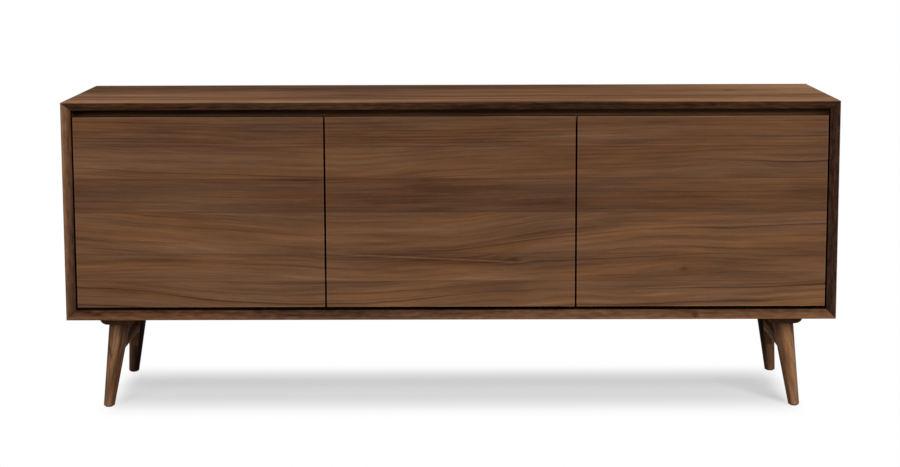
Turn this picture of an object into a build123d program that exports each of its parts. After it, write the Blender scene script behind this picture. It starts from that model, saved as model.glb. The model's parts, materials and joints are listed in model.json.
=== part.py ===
from build123d import *
from collections import namedtuple
import math
import os

# A walnut sideboard buffet: a mitred case with a bevelled front, three side-hung inset doors
# under a finger gap, and two sculpted leg frames. Millimetres, +Z up, front towards -Y.
# The origin is on the floor under the middle of the case.

# Case
case_width = 1850.0
case_depth = 460.0
case_height = 526.0
floor_clearance = 224.0
panel_thickness = 20.0
front_land = 2.0
bevel_depth = 20.0
arris_radius = 0.8
back_thickness = 6.0
back_rabbet_depth = 8.0
back_rabbet_width = 10.0
back_panel_play = 1.0

# Mitre splines
spline_thickness = 4.0
spline_width = 12.0
spline_shift = 2.5
spline_end_margin = 35.0
mitre_overcut = 5.0

# Inner carcass
partition_thickness = 18.0
partition_setback = 4.0
finger_rail_thickness = 18.0
finger_rail_height = 45.0
finger_room = 22.0
dowel_diameter = 8.0
dowel_length = 30.0
dowel_in_panel = 12.0
dowel_end_margin = 40.0
dowels_in_row = 3
glue_clearance = 0.1

# Shelves and their pins
shelf_thickness = 18.0
shelf_front_setback = 45.0
shelf_back_play = 2.0
shelf_side_play = 1.0
shelf_level = 252.0
shelf_pin_diameter = 5.0
shelf_pin_depth = 8.0
shelf_pin_pad = 12.0
shelf_pin_pad_thickness = 2.5
shelf_pin_pad_sink = 1.25
pin_hole_pitch = 32.0
pin_holes_each_way = 2
pin_row_from_shelf_front = 65.0
pin_row_from_shelf_back = 48.0

# Doors
door_thickness = 20.0
door_side_gap = 3.5
door_bottom_gap = 7.0
finger_gap = 17.0
door_front_round = 1.5
door_back_round = 0.8
door_count = 3

# Hinges: a single pin in a cup let into the door's back, breaking out at its edge
hinge_from_door_end = 75.0
pin_from_edge = 8.0
pin_from_back = 12.5
pin_diameter = 3.5
pin_running_clearance = 0.06
pin_seat_clearance = 0.02
knuckle_radius = 3.0
cup_diameter = 35.0
cup_depth = 16.5
cup_from_edge = 13.0
cup_wall = 1.2
cup_floor = 0.8
cup_cheek = 2.0
cup_seat_clearance = 0.1
cup_edge_setback = 0.5
cup_flange_thickness = 1.2
cup_flange_radius = 19.0
cup_flange_from_edge = 4.0
cup_screw_from_edge = 22.5
cup_screw_spread = 22.5
cup_ear_radius = 5.5
arm_thickness = 3.0
arm_width = 14.0
arm_slot_clearance = 0.7
arm_knee_start = -4.0
arm_knee_end = 4.0
arm_bend_radius = 3.0
arm_end = 58.0
arm_lip = 5.0
arm_lip_thickness = 1.5
arm_lip_start = 12.0
plate_thickness = 3.0
plate_start = 14.0
plate_end = 54.0
plate_wing_from_back = 37.0
plate_wing_spread = 16.0
plate_wing_radius = 6.5
plate_corner_radius = 3.5
arm_screw_from_back = 24.0

# Door stops on the partitions
magnet_diameter = 6.0
magnet_sunk = 12.0
strike_diameter = 6.5
strike_thickness = 1.0
stop_from_door_edge = 3.7
stop_from_door_end = 45.0
stop_air = 0.1
bumper_diameter = 6.5

# Leg frames
foot_inset_side = 88.0
foot_inset_front = 49.0
side_splay = 7.0
fore_splay = 10.5
foot_diameter = 26.0
leg_top_diameter = 50.0
foot_round = 2.5
leg_tenon_diameter = 26.0
leg_tenon_length = 16.0
leg_overrun = 20.0
rail_thickness = 23.0
rail_width = 88.0
rail_end_reach = 44.0
rail_lower_round = 16.0
rail_corner_round = 22.0
stretcher_level = 132.0
stretcher_height = 24.0
stretcher_thickness = 20.0
stretcher_flare_radius = 42.0
stretcher_flare_turn = 60.0
stretcher_edge_round = 4.0
stretcher_dowel_diameter = 10.0
stretcher_dowel_length = 36.0
glide_diameter = 18.0
glide_height = 2.0
glide_stem_diameter = 5.0
glide_stem_length = 10.0

# Screws
back_screw_head = 6.0
back_screw_shank = 3.0
back_screw_length = 16.0
back_screw_columns = 4
back_screw_rows = 2
hinge_screw_head = 6.4
hinge_screw_shank = 3.2
hinge_screw_length = 11.0
arm_screw_head = 7.0
arm_screw_shank = 3.6
arm_screw_length = 5.0
rail_screw_head = 10.0
rail_screw_shank = 5.0
rail_screw_length = 30.0
rail_screw_from_middle = 20.0
rail_screw_from_centre = 70.0
rail_screw_sunk = 6.0
screw_hole_clearance = 0.1
screw_head_clearance = 0.4
pan_head_share = 0.4
pan_round_share = 0.5
cut_overrun = 1.0

Screw = namedtuple("Screw", "head shank length")
back_screw = Screw(back_screw_head, back_screw_shank, back_screw_length)
hinge_screw = Screw(hinge_screw_head, hinge_screw_shank, hinge_screw_length)
arm_screw = Screw(arm_screw_head, arm_screw_shank, arm_screw_length)
rail_screw = Screw(rail_screw_head, rail_screw_shank, rail_screw_length)

# Places worked out from the sizes above
case_bottom = floor_clearance
case_top = floor_clearance + case_height
half_width = case_width / 2
half_depth = case_depth / 2
inner_left = -half_width + panel_thickness
inner_bottom = case_bottom + panel_thickness
inner_top = case_top - panel_thickness
back_face = half_depth - back_rabbet_depth
door_front = -half_depth + bevel_depth
door_back = door_front + door_thickness
door_bottom = inner_bottom + door_bottom_gap
door_top = inner_top - finger_gap
door_width = (2 * -inner_left - (door_count + 1) * door_side_gap) / door_count
door_pitch = door_width + door_side_gap
partition_middle = door_pitch / 2
partition_front = door_back + partition_setback
finger_rail_front = door_back + finger_room
finger_rail_back = finger_rail_front + finger_rail_thickness
finger_rail_bottom = inner_top - finger_rail_height
shelf_bottom = inner_bottom + shelf_level
shelf_front = door_back + shelf_front_setback
shelf_back = back_face - shelf_back_play
shelf_pin_level = shelf_bottom - shelf_pin_pad_thickness - shelf_pin_diameter / 2
hinge_levels = (door_bottom + hinge_from_door_end, door_top - hinge_from_door_end)
rail_bottom = floor_clearance - rail_thickness
foot_x = half_width - foot_inset_side
foot_y = half_depth - foot_inset_front
left_door_edge = inner_left + door_side_gap
middle_door_edge = -door_width / 2
partition_seat = -partition_middle + partition_thickness / 2 - middle_door_edge


def block(x0, x1, y0, y1, z0, z1):
    """A rectangular block between two corners."""
    middle = Pos((x0 + x1) / 2, (y0 + y1) / 2, (z0 + z1) / 2)
    return middle * Box(abs(x1 - x0), abs(y1 - y0), abs(z1 - z0))


def rod(start, direction, radius, length):
    """A round rod from a point along a direction."""
    base = Plane(origin=start, z_dir=direction)
    return base * Cylinder(radius, length, align=(Align.CENTER, Align.CENTER, Align.MIN))


def flip(shapes):
    """The same pieces on the other side of the sideboard's middle plane."""
    return [mirror(shape, about=Plane.YZ) for shape in shapes]


def write(node, *shapes):
    """One STEP file for a node, with each piece as a separate solid."""
    solids = [solid for shape in shapes for solid in shape.solids()]
    export_step(solids[0] if len(solids) == 1 else Compound(children=solids), f"parts/{node}.step")


def countersunk_screw(start, direction, screw):
    """A flat-head screw whose head is flush with its start, running along a direction."""
    cone_height = (screw.head - screw.shank) / 2
    base = Plane(origin=start, z_dir=direction)
    foot_up = (Align.CENTER, Align.CENTER, Align.MIN)
    cone = base * Cone(screw.head / 2, screw.shank / 2, cone_height, align=foot_up)
    return cone + rod(start, direction, screw.shank / 2, screw.length)


def pan_screw(start, direction, screw):
    """A pan-head screw whose head stands back from its start."""
    thick = screw.head * pan_head_share
    back = Plane(origin=start, z_dir=direction).offset(-thick).origin
    dome = rod(back, direction, screw.head / 2, thick)
    rim = dome.edges().filter_by(GeomType.CIRCLE).sort_by_distance(back)[0]
    return fillet(rim, thick * pan_round_share) + rod(start, direction, screw.shank / 2, screw.length)


def countersunk_hole(start, direction, screw):
    """The hole that a flat-head screw sits in."""
    room = 2 * screw_hole_clearance
    roomy = Screw(screw.head + room, screw.shank + room, screw.length + room)
    return countersunk_screw(start, direction, roomy)


def shank_hole(start, direction, screw):
    """The plain hole that a screw's shank sits in."""
    radius = screw.shank / 2 + screw_hole_clearance
    return rod(start, direction, radius, screw.length + screw_hole_clearance)


# Case shell, mitred into four panels
def case_shell():
    """The case as one hollow box, with its bevelled front and the rabbet for its back."""
    shell = block(-half_width, half_width, -half_depth, half_depth, case_bottom, case_top)
    shell = fillet(shell.edges(), arris_radius)
    shell -= block(inner_left, -inner_left, -half_depth, half_depth, inner_bottom, inner_top)
    middle = (case_bottom + case_top) / 2
    land = Plane(origin=(0, -half_depth, middle), x_dir=(1, 0, 0), z_dir=(0, 1, 0))
    mouth = land * Rectangle(case_width - 2 * front_land, case_height - 2 * front_land)
    throat = land.offset(bevel_depth) * Rectangle(
        case_width - 2 * panel_thickness, case_height - 2 * panel_thickness
    )
    shell -= loft([mouth.face(), throat.face()], ruled=True)
    shell -= block(
        -half_width + back_rabbet_width,
        half_width - back_rabbet_width,
        back_face,
        half_depth,
        case_bottom + back_rabbet_width,
        case_top - back_rabbet_width,
    )
    return shell


def mitre_region(corner, far_corner, inward):
    """A wedge that keeps one panel of the shell, cut at 45 degrees to both of its ends."""
    reach = panel_thickness + mitre_overcut
    along = (far_corner - corner).normalized()
    outline = Polyline(
        corner,
        far_corner,
        far_corner + (inward - along) * reach,
        corner + (inward + along) * reach,
        close=True,
    )
    return extrude(make_face(outline), amount=half_depth + cut_overrun, dir=(0, 1, 0), both=True)


def mitre_spline(corner, inward):
    """A loose tongue set square across a mitre, from a corner of the case and its inward way."""
    centre = corner + inward * (panel_thickness / 2 + spline_shift)
    across = Vector(inward.X, 0, -inward.Z).normalized()
    frame = Plane(origin=centre, x_dir=across, z_dir=(0, 1, 0))
    half = half_depth - spline_end_margin
    return extrude(frame * Rectangle(spline_width, spline_thickness), amount=half, both=True)


corner_points = {
    "top_left": Vector(-half_width, 0, case_top),
    "top_right": Vector(half_width, 0, case_top),
    "bottom_right": Vector(half_width, 0, case_bottom),
    "bottom_left": Vector(-half_width, 0, case_bottom),
}
inward_ways = {
    "top_left": Vector(1, 0, -1),
    "top_right": Vector(-1, 0, -1),
    "bottom_right": Vector(-1, 0, 1),
    "bottom_left": Vector(1, 0, 1),
}
panel_corners = {
    "top_panel": ("top_left", "top_right", Vector(0, 0, -1)),
    "right_side_panel": ("top_right", "bottom_right", Vector(-1, 0, 0)),
    "bottom_panel": ("bottom_right", "bottom_left", Vector(0, 0, 1)),
    "left_side_panel": ("bottom_left", "top_left", Vector(1, 0, 0)),
}
splines = [mitre_spline(corner_points[name], inward_ways[name]) for name in corner_points]
shell = case_shell()
panels = {}
for name, (start, end, inward) in panel_corners.items():
    panels[name] = shell & mitre_region(corner_points[start], corner_points[end], inward)
    for spline in splines:
        panels[name] -= spline

# Back panel, screwed into the rabbet
back_half_width = half_width - back_rabbet_width - back_panel_play
back_bottom = case_bottom + back_rabbet_width + back_panel_play
back_top = case_top - back_rabbet_width - back_panel_play
back_outer = back_face + back_thickness
back_panel = block(-back_half_width, back_half_width, back_face, back_outer, back_bottom, back_top)
screw_inset = (back_rabbet_width + panel_thickness) / 2
screw_columns = [
    (index + 0.5) / back_screw_columns * case_width - half_width for index in range(back_screw_columns)
]
screw_rows = [
    (index + 0.5) / back_screw_rows * case_height + case_bottom for index in range(back_screw_rows)
]
back_screw_places = {
    "top_panel": [(x, case_top - screw_inset) for x in screw_columns],
    "bottom_panel": [(x, case_bottom + screw_inset) for x in screw_columns],
    "left_side_panel": [(-half_width + screw_inset, z) for z in screw_rows],
    "right_side_panel": [(half_width - screw_inset, z) for z in screw_rows],
}
back_screws = []
for name, places in back_screw_places.items():
    for x, z in places:
        start = (x, back_outer, z)
        back_screws.append(countersunk_screw(start, (0, -1, 0), back_screw))
        hole = countersunk_hole(start, (0, -1, 0), back_screw)
        back_panel -= hole
        panels[name] -= hole


# Partitions, with a notch at the front for the finger rail, and dowels top and bottom
def partition_blank(middle):
    """An upright between two bays."""
    upright = block(
        middle - partition_thickness / 2,
        middle + partition_thickness / 2,
        partition_front,
        back_face,
        inner_bottom,
        inner_top,
    )
    notch = block(
        middle - partition_thickness,
        middle + partition_thickness,
        partition_front,
        finger_rail_back,
        finger_rail_bottom,
        inner_top,
    )
    return upright - notch


partitions = {
    "left_partition": partition_blank(-partition_middle),
    "right_partition": partition_blank(partition_middle),
}
finger_rail = block(
    inner_left, -inner_left, finger_rail_front, finger_rail_back, finger_rail_bottom, inner_top
)
first_dowel = finger_rail_back + dowel_end_margin
dowel_pitch = (back_face - dowel_end_margin - first_dowel) / (dowels_in_row - 1)
dowels = []
for name, middle in (("left_partition", -partition_middle), ("right_partition", partition_middle)):
    for depth in [first_dowel + place * dowel_pitch for place in range(dowels_in_row)]:
        for panel, level, way in (("top_panel", inner_top, -1), ("bottom_panel", inner_bottom, 1)):
            start = (middle, depth, level - way * dowel_in_panel)
            dowels.append(rod(start, (0, 0, way), dowel_diameter / 2, dowel_length))
            bore_end = (middle, depth, level - way * (dowel_in_panel + glue_clearance))
            bore_radius = dowel_diameter / 2 + glue_clearance
            bore = rod(bore_end, (0, 0, way), bore_radius, dowel_length + 2 * glue_clearance)
            partitions[name] -= bore
            panels[panel] -= bore


# Shelves on spoon pins, with spare holes above and below
def shelf_pin(wall, depth, way):
    """A spoon pin in a wall, under the shelf, pointing into the bay."""
    start = (wall - way * shelf_pin_depth, depth, shelf_pin_level)
    stem = rod(start, (way, 0, 0), shelf_pin_diameter / 2, shelf_pin_depth + shelf_pin_pad)
    half = shelf_pin_pad / 2
    pad = block(
        wall,
        wall + way * shelf_pin_pad,
        depth - half,
        depth + half,
        shelf_bottom - shelf_pin_pad_thickness - shelf_pin_pad_sink,
        shelf_bottom,
    )
    return stem + pad


def pin_hole_row(wall, depth, way):
    """The row of holes that a shelf pin can be moved to, bored into a wall from the bay."""
    radius = shelf_pin_diameter / 2 + glue_clearance
    steps = range(-pin_holes_each_way, pin_holes_each_way + 1)
    mouths = [(wall, depth, shelf_pin_level + step * pin_hole_pitch) for step in steps]
    return [rod(mouth, (-way, 0, 0), radius, shelf_pin_depth + glue_clearance) for mouth in mouths]


pin_rows = (shelf_front + pin_row_from_shelf_front, shelf_back - pin_row_from_shelf_back)
outer_bay_wall = partition_middle + partition_thickness / 2
middle_bay_wall = partition_middle - partition_thickness / 2
bays = {
    "left": (inner_left, -outer_bay_wall, "left_side_panel", "left_partition"),
    "middle": (-middle_bay_wall, middle_bay_wall, "left_partition", "right_partition"),
    "right": (outer_bay_wall, -inner_left, "right_partition", "right_side_panel"),
}
uprights = {
    "left_side_panel": panels["left_side_panel"],
    "right_side_panel": panels["right_side_panel"],
    **partitions,
}
shelves = {}
shelf_pins = []
for bay, (left_wall, right_wall, left_name, right_name) in bays.items():
    shelves[bay] = block(
        left_wall + shelf_side_play,
        right_wall - shelf_side_play,
        shelf_front,
        shelf_back,
        shelf_bottom,
        shelf_bottom + shelf_thickness,
    )
    for depth in pin_rows:
        shelf_pins.append(shelf_pin(left_wall, depth, 1))
        shelf_pins.append(shelf_pin(right_wall, depth, -1))
        for hole in pin_hole_row(left_wall, depth, 1):
            uprights[left_name] -= hole
        for hole in pin_hole_row(right_wall, depth, -1):
            uprights[right_name] -= hole


# Hinges, in the door's own corner frame: x from the hinge edge, y back from the door's back face
def hinge_cup():
    """The cup in the door: a round wall, a floor, two cheeks for the pin and a screwed flange."""
    outer = cup_diameter / 2 - cup_seat_clearance
    centre = (cup_from_edge, 0, 0)
    into_door = (0, -1, 0)
    depth = cup_depth - cup_seat_clearance
    cup = rod(centre, into_door, outer, depth)
    hollow = rod(centre, into_door, outer - cup_wall, depth - cup_floor)
    slot_half = arm_width / 2 + arm_slot_clearance
    cheek_outer = slot_half + cup_cheek
    web = block(0, cup_diameter, -cup_depth, 0, -cheek_outer, cheek_outer)
    cup -= hollow - web
    flange_plane = Plane(origin=(0, 0, 0), x_dir=(1, 0, 0), z_dir=(0, 1, 0))
    ring = Pos(cup_from_edge, 0) * Circle(cup_flange_radius)
    for way in (-1, 1):
        ring += Pos(cup_screw_from_edge, way * cup_screw_spread) * Circle(cup_ear_radius)
    flange = extrude(flange_plane * make_hull(ring.edges()), amount=cup_flange_thickness)
    flange -= rod(centre, (0, 1, 0), outer - cup_wall, cup_flange_thickness)
    cup += flange
    slot_top = cup_flange_thickness + cut_overrun
    slot_end = cup_diameter - cup_wall
    cup -= block(-cup_diameter, slot_end, cup_floor - depth, slot_top, -slot_half, slot_half)
    cup -= block(-cup_diameter, cup_edge_setback, -cup_depth, 0, -cup_diameter, cup_diameter)
    cup -= block(-cup_diameter, cup_flange_from_edge, 0, slot_top, -cup_diameter, cup_diameter)
    pin_seat = (pin_from_edge, -pin_from_back, -cup_diameter)
    return cup - rod(pin_seat, (0, 0, 1), pin_diameter / 2 + pin_seat_clearance, 2 * cup_diameter)


def cup_recess():
    """The round recess for the cup, open at the door's edge."""
    return rod((cup_from_edge, 0, 0), (0, -1, 0), cup_diameter / 2, cup_depth)


def hinge_pin():
    """The pin that the door turns on, held in the cup's two cheeks."""
    half = arm_width / 2 + arm_slot_clearance + cup_cheek
    return rod((pin_from_edge, -pin_from_back, -half), (0, 0, 1), pin_diameter / 2, 2 * half)


def hinge_arm(seat):
    """The cranked arm from the pin to its mounting plate on a wall whose face is at seat."""
    lie = seat + plate_thickness + arm_thickness / 2
    pin_place = (pin_from_edge, -pin_from_back)
    path = FilletPolyline(
        pin_place,
        (pin_from_edge, arm_knee_start),
        (lie, arm_knee_end),
        (lie, arm_end),
        radius=arm_bend_radius,
    )
    strip = trace(path, line_width=arm_thickness) + Pos(*pin_place) * Circle(knuckle_radius)
    arm = extrude(strip, amount=arm_width / 2, both=True)
    lip_outer = arm_width / 2
    for way in (-1, 1):
        arm += block(
            lie,
            lie + arm_thickness / 2 + arm_lip,
            arm_lip_start,
            arm_end,
            way * lip_outer,
            way * (lip_outer - arm_lip_thickness),
        )
    bore = pin_diameter / 2 + pin_running_clearance
    arm -= rod((pin_from_edge, -pin_from_back, -arm_width), (0, 0, 1), bore, 2 * arm_width)
    return arm - shank_hole(arm_screw_place(seat), (-1, 0, 0), arm_screw)


def arm_screw_place(seat):
    """Where the arm's clamping screw sits, on the arm's face."""
    return (seat + plate_thickness + arm_thickness, arm_screw_from_back, 0)


def plate_screw_places(seat):
    """Where the mounting plate's two screws sit, on the plate's face."""
    return [(seat + plate_thickness, plate_wing_from_back, way * plate_wing_spread) for way in (-1, 1)]


def cup_screw_places():
    """Where the cup's two screws sit, on its flange."""
    return [(cup_screw_from_edge, cup_flange_thickness, way * cup_screw_spread) for way in (-1, 1)]


def mounting_plate(seat):
    """The cross-shaped plate screwed to the wall."""
    face = Plane(origin=(seat, 0, 0), x_dir=(0, 1, 0), z_dir=(1, 0, 0))
    length = plate_end - plate_start
    middle = Pos((plate_start + plate_end) / 2, 0)
    spine = middle * RectangleRounded(length, arm_width, plate_corner_radius)
    tips = Sketch()
    for way in (-1, 1):
        tips += Pos(plate_wing_from_back, way * plate_wing_spread) * Circle(plate_wing_radius)
    plate = extrude(face * (spine + make_hull(tips.edges())), amount=plate_thickness)
    for place in plate_screw_places(seat):
        plate -= countersunk_hole(place, (-1, 0, 0), hinge_screw)
    return plate - shank_hole(arm_screw_place(seat), (-1, 0, 0), arm_screw)


def set_out(edge, pieces):
    """Copies of a hinge piece at both hinge levels of a door whose hinge edge is at edge."""
    return [Pos(edge, door_back, level) * piece for level in hinge_levels for piece in pieces]


def door_blank(left):
    """A door slab with its edges eased, from its left edge."""
    slab = block(left, left + door_width, door_front, door_back, door_bottom, door_top)
    front_edges = slab.edges().group_by(Axis.Y)[0]
    slab = fillet(front_edges, door_front_round)
    return fillet(slab.edges().group_by(Axis.Y)[-1], door_back_round)


def hinged_door(edge):
    """A door hung on its left edge, bored for its hinge cups and their screws."""
    door = door_blank(edge)
    for recess in set_out(edge, [cup_recess()]):
        door -= recess
    holes = [countersunk_hole(place, (0, -1, 0), hinge_screw) for place in cup_screw_places()]
    for hole in set_out(edge, holes):
        door -= hole
    return door


def door_set(edge, seat):
    """A left-hung door with everything that hangs it, by piece name."""
    cup = hinge_cup()
    for place in cup_screw_places():
        cup -= countersunk_hole(place, (0, -1, 0), hinge_screw)
    cup_screws = [countersunk_screw(place, (0, -1, 0), hinge_screw) for place in cup_screw_places()]
    plate_screws = [
        countersunk_screw(place, (-1, 0, 0), hinge_screw) for place in plate_screw_places(seat)
    ]
    return {
        "door": [hinged_door(edge)],
        "hinge_cups": set_out(edge, [cup]),
        "hinge_pins": set_out(edge, [hinge_pin()]),
        "hinge_cup_screws": set_out(edge, cup_screws),
        "hinge_arms": set_out(edge, [hinge_arm(seat)]),
        "hinge_plates": set_out(edge, [mounting_plate(seat)]),
        "plate_screws": set_out(edge, plate_screws),
        "arm_screws": set_out(edge, [pan_screw(arm_screw_place(seat), (-1, 0, 0), arm_screw)]),
    }


def plate_holes(edge, seat):
    """The screw holes in the wall that a door's hinges are mounted on."""
    mouths = [(seat, y, z) for _, y, z in plate_screw_places(seat)]
    return set_out(edge, [shank_hole(mouth, (-1, 0, 0), hinge_screw) for mouth in mouths])


left_set = door_set(left_door_edge, -door_side_gap)
middle_set = door_set(middle_door_edge, partition_seat)
door_sets = {
    "left": left_set,
    "middle": middle_set,
    "right": {piece: flip(shapes) for piece, shapes in left_set.items()},
}
side_holes = plate_holes(left_door_edge, -door_side_gap)
for hole in side_holes:
    uprights["left_side_panel"] -= hole
for hole in flip(side_holes):
    uprights["right_side_panel"] -= hole
for hole in plate_holes(middle_door_edge, partition_seat):
    uprights["left_partition"] -= hole

# Door stops: a magnet near the top and a soft bumper near the bottom of each free edge
free_edges = {
    "left": (-partition_middle - door_side_gap / 2, -1, "left_partition"),
    "middle": (partition_middle - door_side_gap / 2, -1, "right_partition"),
    "right": (partition_middle + door_side_gap / 2, 1, "right_partition"),
}
magnets = []
bumpers = []
strikes = {}
magnet_front = door_back + strike_thickness + stop_air
for bay, (edge, way, wall) in free_edges.items():
    x = edge + way * stop_from_door_edge
    high = door_top - stop_from_door_end
    low = door_bottom + stop_from_door_end
    length = partition_front - magnet_front + magnet_sunk
    magnets.append(rod((x, magnet_front, high), (0, 1, 0), magnet_diameter / 2, length))
    uprights[wall] -= rod(
        (x, partition_front, high),
        (0, 1, 0),
        magnet_diameter / 2 + glue_clearance,
        magnet_sunk + glue_clearance,
    )
    strikes[bay] = rod((x, door_back, high), (0, 1, 0), strike_diameter / 2, strike_thickness)
    bumper_front = door_back + stop_air
    bumpers.append(
        rod((x, bumper_front, low), (0, 1, 0), bumper_diameter / 2, partition_front - bumper_front)
    )


# Leg frames, modelled on the right and mirrored to the left
def leg_points(way):
    """The foot and the top of a right-hand leg's centre line: way is -1 at the front."""
    foot = Vector(foot_x, way * foot_y, 0)
    rise = Vector(-math.tan(math.radians(side_splay)), -way * math.tan(math.radians(fore_splay)), 1)
    return foot, foot + rise * rail_bottom


def leg_cone(way):
    """A leg's tapered round form, running on past its foot and its top."""
    foot, top = leg_points(way)
    axis = top - foot
    grow = (leg_top_diameter - foot_diameter) / 2 * leg_overrun / axis.length
    start = foot - axis.normalized() * leg_overrun
    cone = Cone(
        foot_diameter / 2 - grow,
        leg_top_diameter / 2 + grow,
        axis.length + 2 * leg_overrun,
        align=(Align.CENTER, Align.CENTER, Align.MIN),
    )
    return Plane(origin=start, z_dir=axis) * cone


def stretcher_joint(way):
    """The centre of a leg and its radius, at the level of the stretcher."""
    foot, top = leg_points(way)
    share = stretcher_level / rail_bottom
    radius = (foot_diameter + (leg_top_diameter - foot_diameter) * share) / 2
    return foot + (top - foot) * share, radius


def level_slice(low, high):
    """All the space between two levels."""
    return block(0, case_width, -case_depth, case_depth, low, high)


def leg_tenon(way, play):
    """The round tenon on top of a leg, or its bore when play is given."""
    foot, top = leg_points(way)
    axis = (top - foot).normalized()
    start = top - axis * leg_tenon_length
    stub = rod(start, axis, leg_tenon_diameter / 2 + play, 2 * leg_tenon_length + leg_overrun)
    return stub & level_slice(rail_bottom, rail_bottom + leg_tenon_length + play)


def stretcher_dowel(way, play):
    """The dowel between a leg and its stretcher, or its bore when play is given."""
    centre, leg_radius = stretcher_joint(way)
    seam = centre.Y - way * leg_radius
    start = (centre.X, seam + way * (stretcher_dowel_length / 2 + play), stretcher_level)
    radius = stretcher_dowel_diameter / 2 + play
    return rod(start, (0, -way, 0), radius, stretcher_dowel_length + 2 * play)


def glide(way, play):
    """The glide under a foot, or the bore for its stem when play is given."""
    stem = rod(
        (foot_x, way * foot_y, glide_height),
        (0, 0, 1),
        glide_stem_diameter / 2 + play,
        glide_stem_length + play,
    )
    if play:
        return stem
    return stem + rod((foot_x, way * foot_y, 0), (0, 0, 1), glide_diameter / 2, glide_height)


def leg(way):
    """A tapered, splayed leg with a rounded foot and a round tenon."""
    form = leg_cone(way) & level_slice(glide_height, rail_bottom)
    form = fillet(form.edges().group_by(Axis.Z)[0], foot_round)
    form += leg_tenon(way, 0)
    form -= stretcher_dowel(way, glue_clearance)
    return form - glide(way, glue_clearance)


def stretcher():
    """The bar between two legs, flaring into them, coped to their taper at both ends."""
    centre, leg_radius = stretcher_joint(1)
    tilt = math.radians(side_splay)
    frame = Plane(
        origin=(centre.X, 0, stretcher_level),
        x_dir=(0, 1, 0),
        z_dir=(math.cos(tilt), 0, math.sin(tilt)),
    )
    half_height = stretcher_height / 2
    turn = math.radians(stretcher_flare_turn)
    run = stretcher_flare_radius * math.sin(turn)
    rise = stretcher_flare_radius * (1 - math.cos(turn))
    end = centre.Y
    flare_end = end - leg_radius * math.cos(math.radians(fore_splay))
    flare_start = flare_end - run
    middle_top = Line((-flare_start, half_height), (flare_start, half_height))
    flare = TangentArc((flare_start, half_height), (flare_end, half_height + rise), tangent=(1, 0))
    end_height = half_height + rise + (end - flare_end) * math.tan(turn)
    run_in = Line((flare_end, half_height + rise), (end, end_height))
    right_half = Curve() + [flare, run_in]
    left_half = mirror(right_half, about=Plane.YZ)
    upper = Curve() + [middle_top, right_half, left_half]
    lower = mirror(upper, about=Plane.XZ)
    end_lines = [Line((way * end, end_height), (way * end, -end_height)) for way in (-1, 1)]
    outline = make_face((Curve() + [upper, lower] + end_lines).edges())
    bar = extrude(frame * outline, amount=stretcher_thickness / 2, both=True)
    sides = bar.faces().filter_by(Axis(frame.origin, frame.z_dir))
    ends = bar.faces().filter_by(Axis.Y)
    bar = fillet(sides.edges() - ends.edges(), stretcher_edge_round)
    for way in (-1, 1):
        bar -= leg_cone(way)
        bar -= stretcher_dowel(way, glue_clearance)
    return bar


def leg_rail():
    """The rail under the case that a pair of legs is tenoned into."""
    front_top = leg_points(-1)[1]
    half = rail_width / 2
    reach = rail_end_reach - front_top.Y
    rail = block(
        front_top.X - half, front_top.X + half, -reach, reach, rail_bottom, floor_clearance
    )
    rail = fillet(rail.edges().filter_by(Axis.Z), rail_corner_round)
    rail = fillet(rail.faces().sort_by(Axis.Z)[0].edges(), rail_lower_round)
    for way in (-1, 1):
        rail -= leg_tenon(way, glue_clearance)
    head_radius = rail_screw.head / 2 + screw_head_clearance
    for place in rail_screw_places():
        rail -= shank_hole(place, (0, 0, 1), rail_screw)
        rail -= rod(place, (0, 0, -1), head_radius, rail_screw_sunk + cut_overrun)
    return rail


def rail_screw_places():
    """Where the screws that hold a leg rail to the case sit, in their counterbores."""
    middle = leg_points(-1)[1].X
    level = rail_bottom + rail_screw_sunk
    across = (middle - rail_screw_from_middle, middle + rail_screw_from_middle)
    along = (-rail_screw_from_centre, rail_screw_from_centre)
    return [(x, y, level) for x in across for y in along]


rail_screws = [pan_screw(place, (0, 0, 1), rail_screw) for place in rail_screw_places()]
for hole in [shank_hole(place, (0, 0, 1), rail_screw) for place in rail_screw_places()]:
    panels["bottom_panel"] -= hole
    panels["bottom_panel"] -= flip([hole])[0]
leg_frame = {
    "leg_rail": leg_rail(),
    "front_leg": leg(-1),
    "back_leg": leg(1),
    "leg_stretcher": stretcher(),
}
stretcher_dowels = [stretcher_dowel(way, 0) for way in (-1, 1)]
glides = [glide(way, 0) for way in (-1, 1)]

# Write every node
os.makedirs("parts", exist_ok=True)
write("top_panel", panels["top_panel"])
write("bottom_panel", panels["bottom_panel"])
for name, upright in uprights.items():
    write(name, upright)
write("back_panel", back_panel)
write("finger_rail", finger_rail)
write("mitre_splines", *splines)
write("partition_dowels", *dowels)
write("back_panel_screws", *back_screws)
write("shelf_pins", *shelf_pins)
for bay, shelf in shelves.items():
    write(f"{bay}_shelf", shelf)
for bay, pieces in door_sets.items():
    for piece in ("hinge_cups", "hinge_pins", "hinge_cup_screws", "hinge_arms", "hinge_plates"):
        write(f"{bay}_{piece}", *pieces[piece])
    write(f"{bay}_door", *pieces["door"])
    write(f"{bay}_magnet_strike", strikes[bay])
for piece in ("plate_screws", "arm_screws"):
    write(f"hinge_{piece}", *[screw for pieces in door_sets.values() for screw in pieces[piece]])
write("door_magnets", *magnets)
write("door_bumpers", *bumpers)
for name, piece in leg_frame.items():
    write(f"right_{name}", piece)
    write(f"left_{name}", *flip([piece]))
write("stretcher_dowels", *stretcher_dowels, *flip(stretcher_dowels))
write("foot_glides", *glides, *flip(glides))
write("leg_rail_screws", *rail_screws, *flip(rail_screws))
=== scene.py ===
# %% [markdown]
# # Dressing a walnut sideboard
#
# The cabinet arrives as a finished CAD model: fifty-one pieces at their real size, on four bodies, the
# case and its three doors. Nothing here moves or resizes them. This lesson gives each piece the finish
# that it has on the real object, cuts real screws where the CAD has plain ones, and lights the whole like
# a catalogue picture. Lengths are in metres, +Z is up and the doors face -Y.

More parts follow.
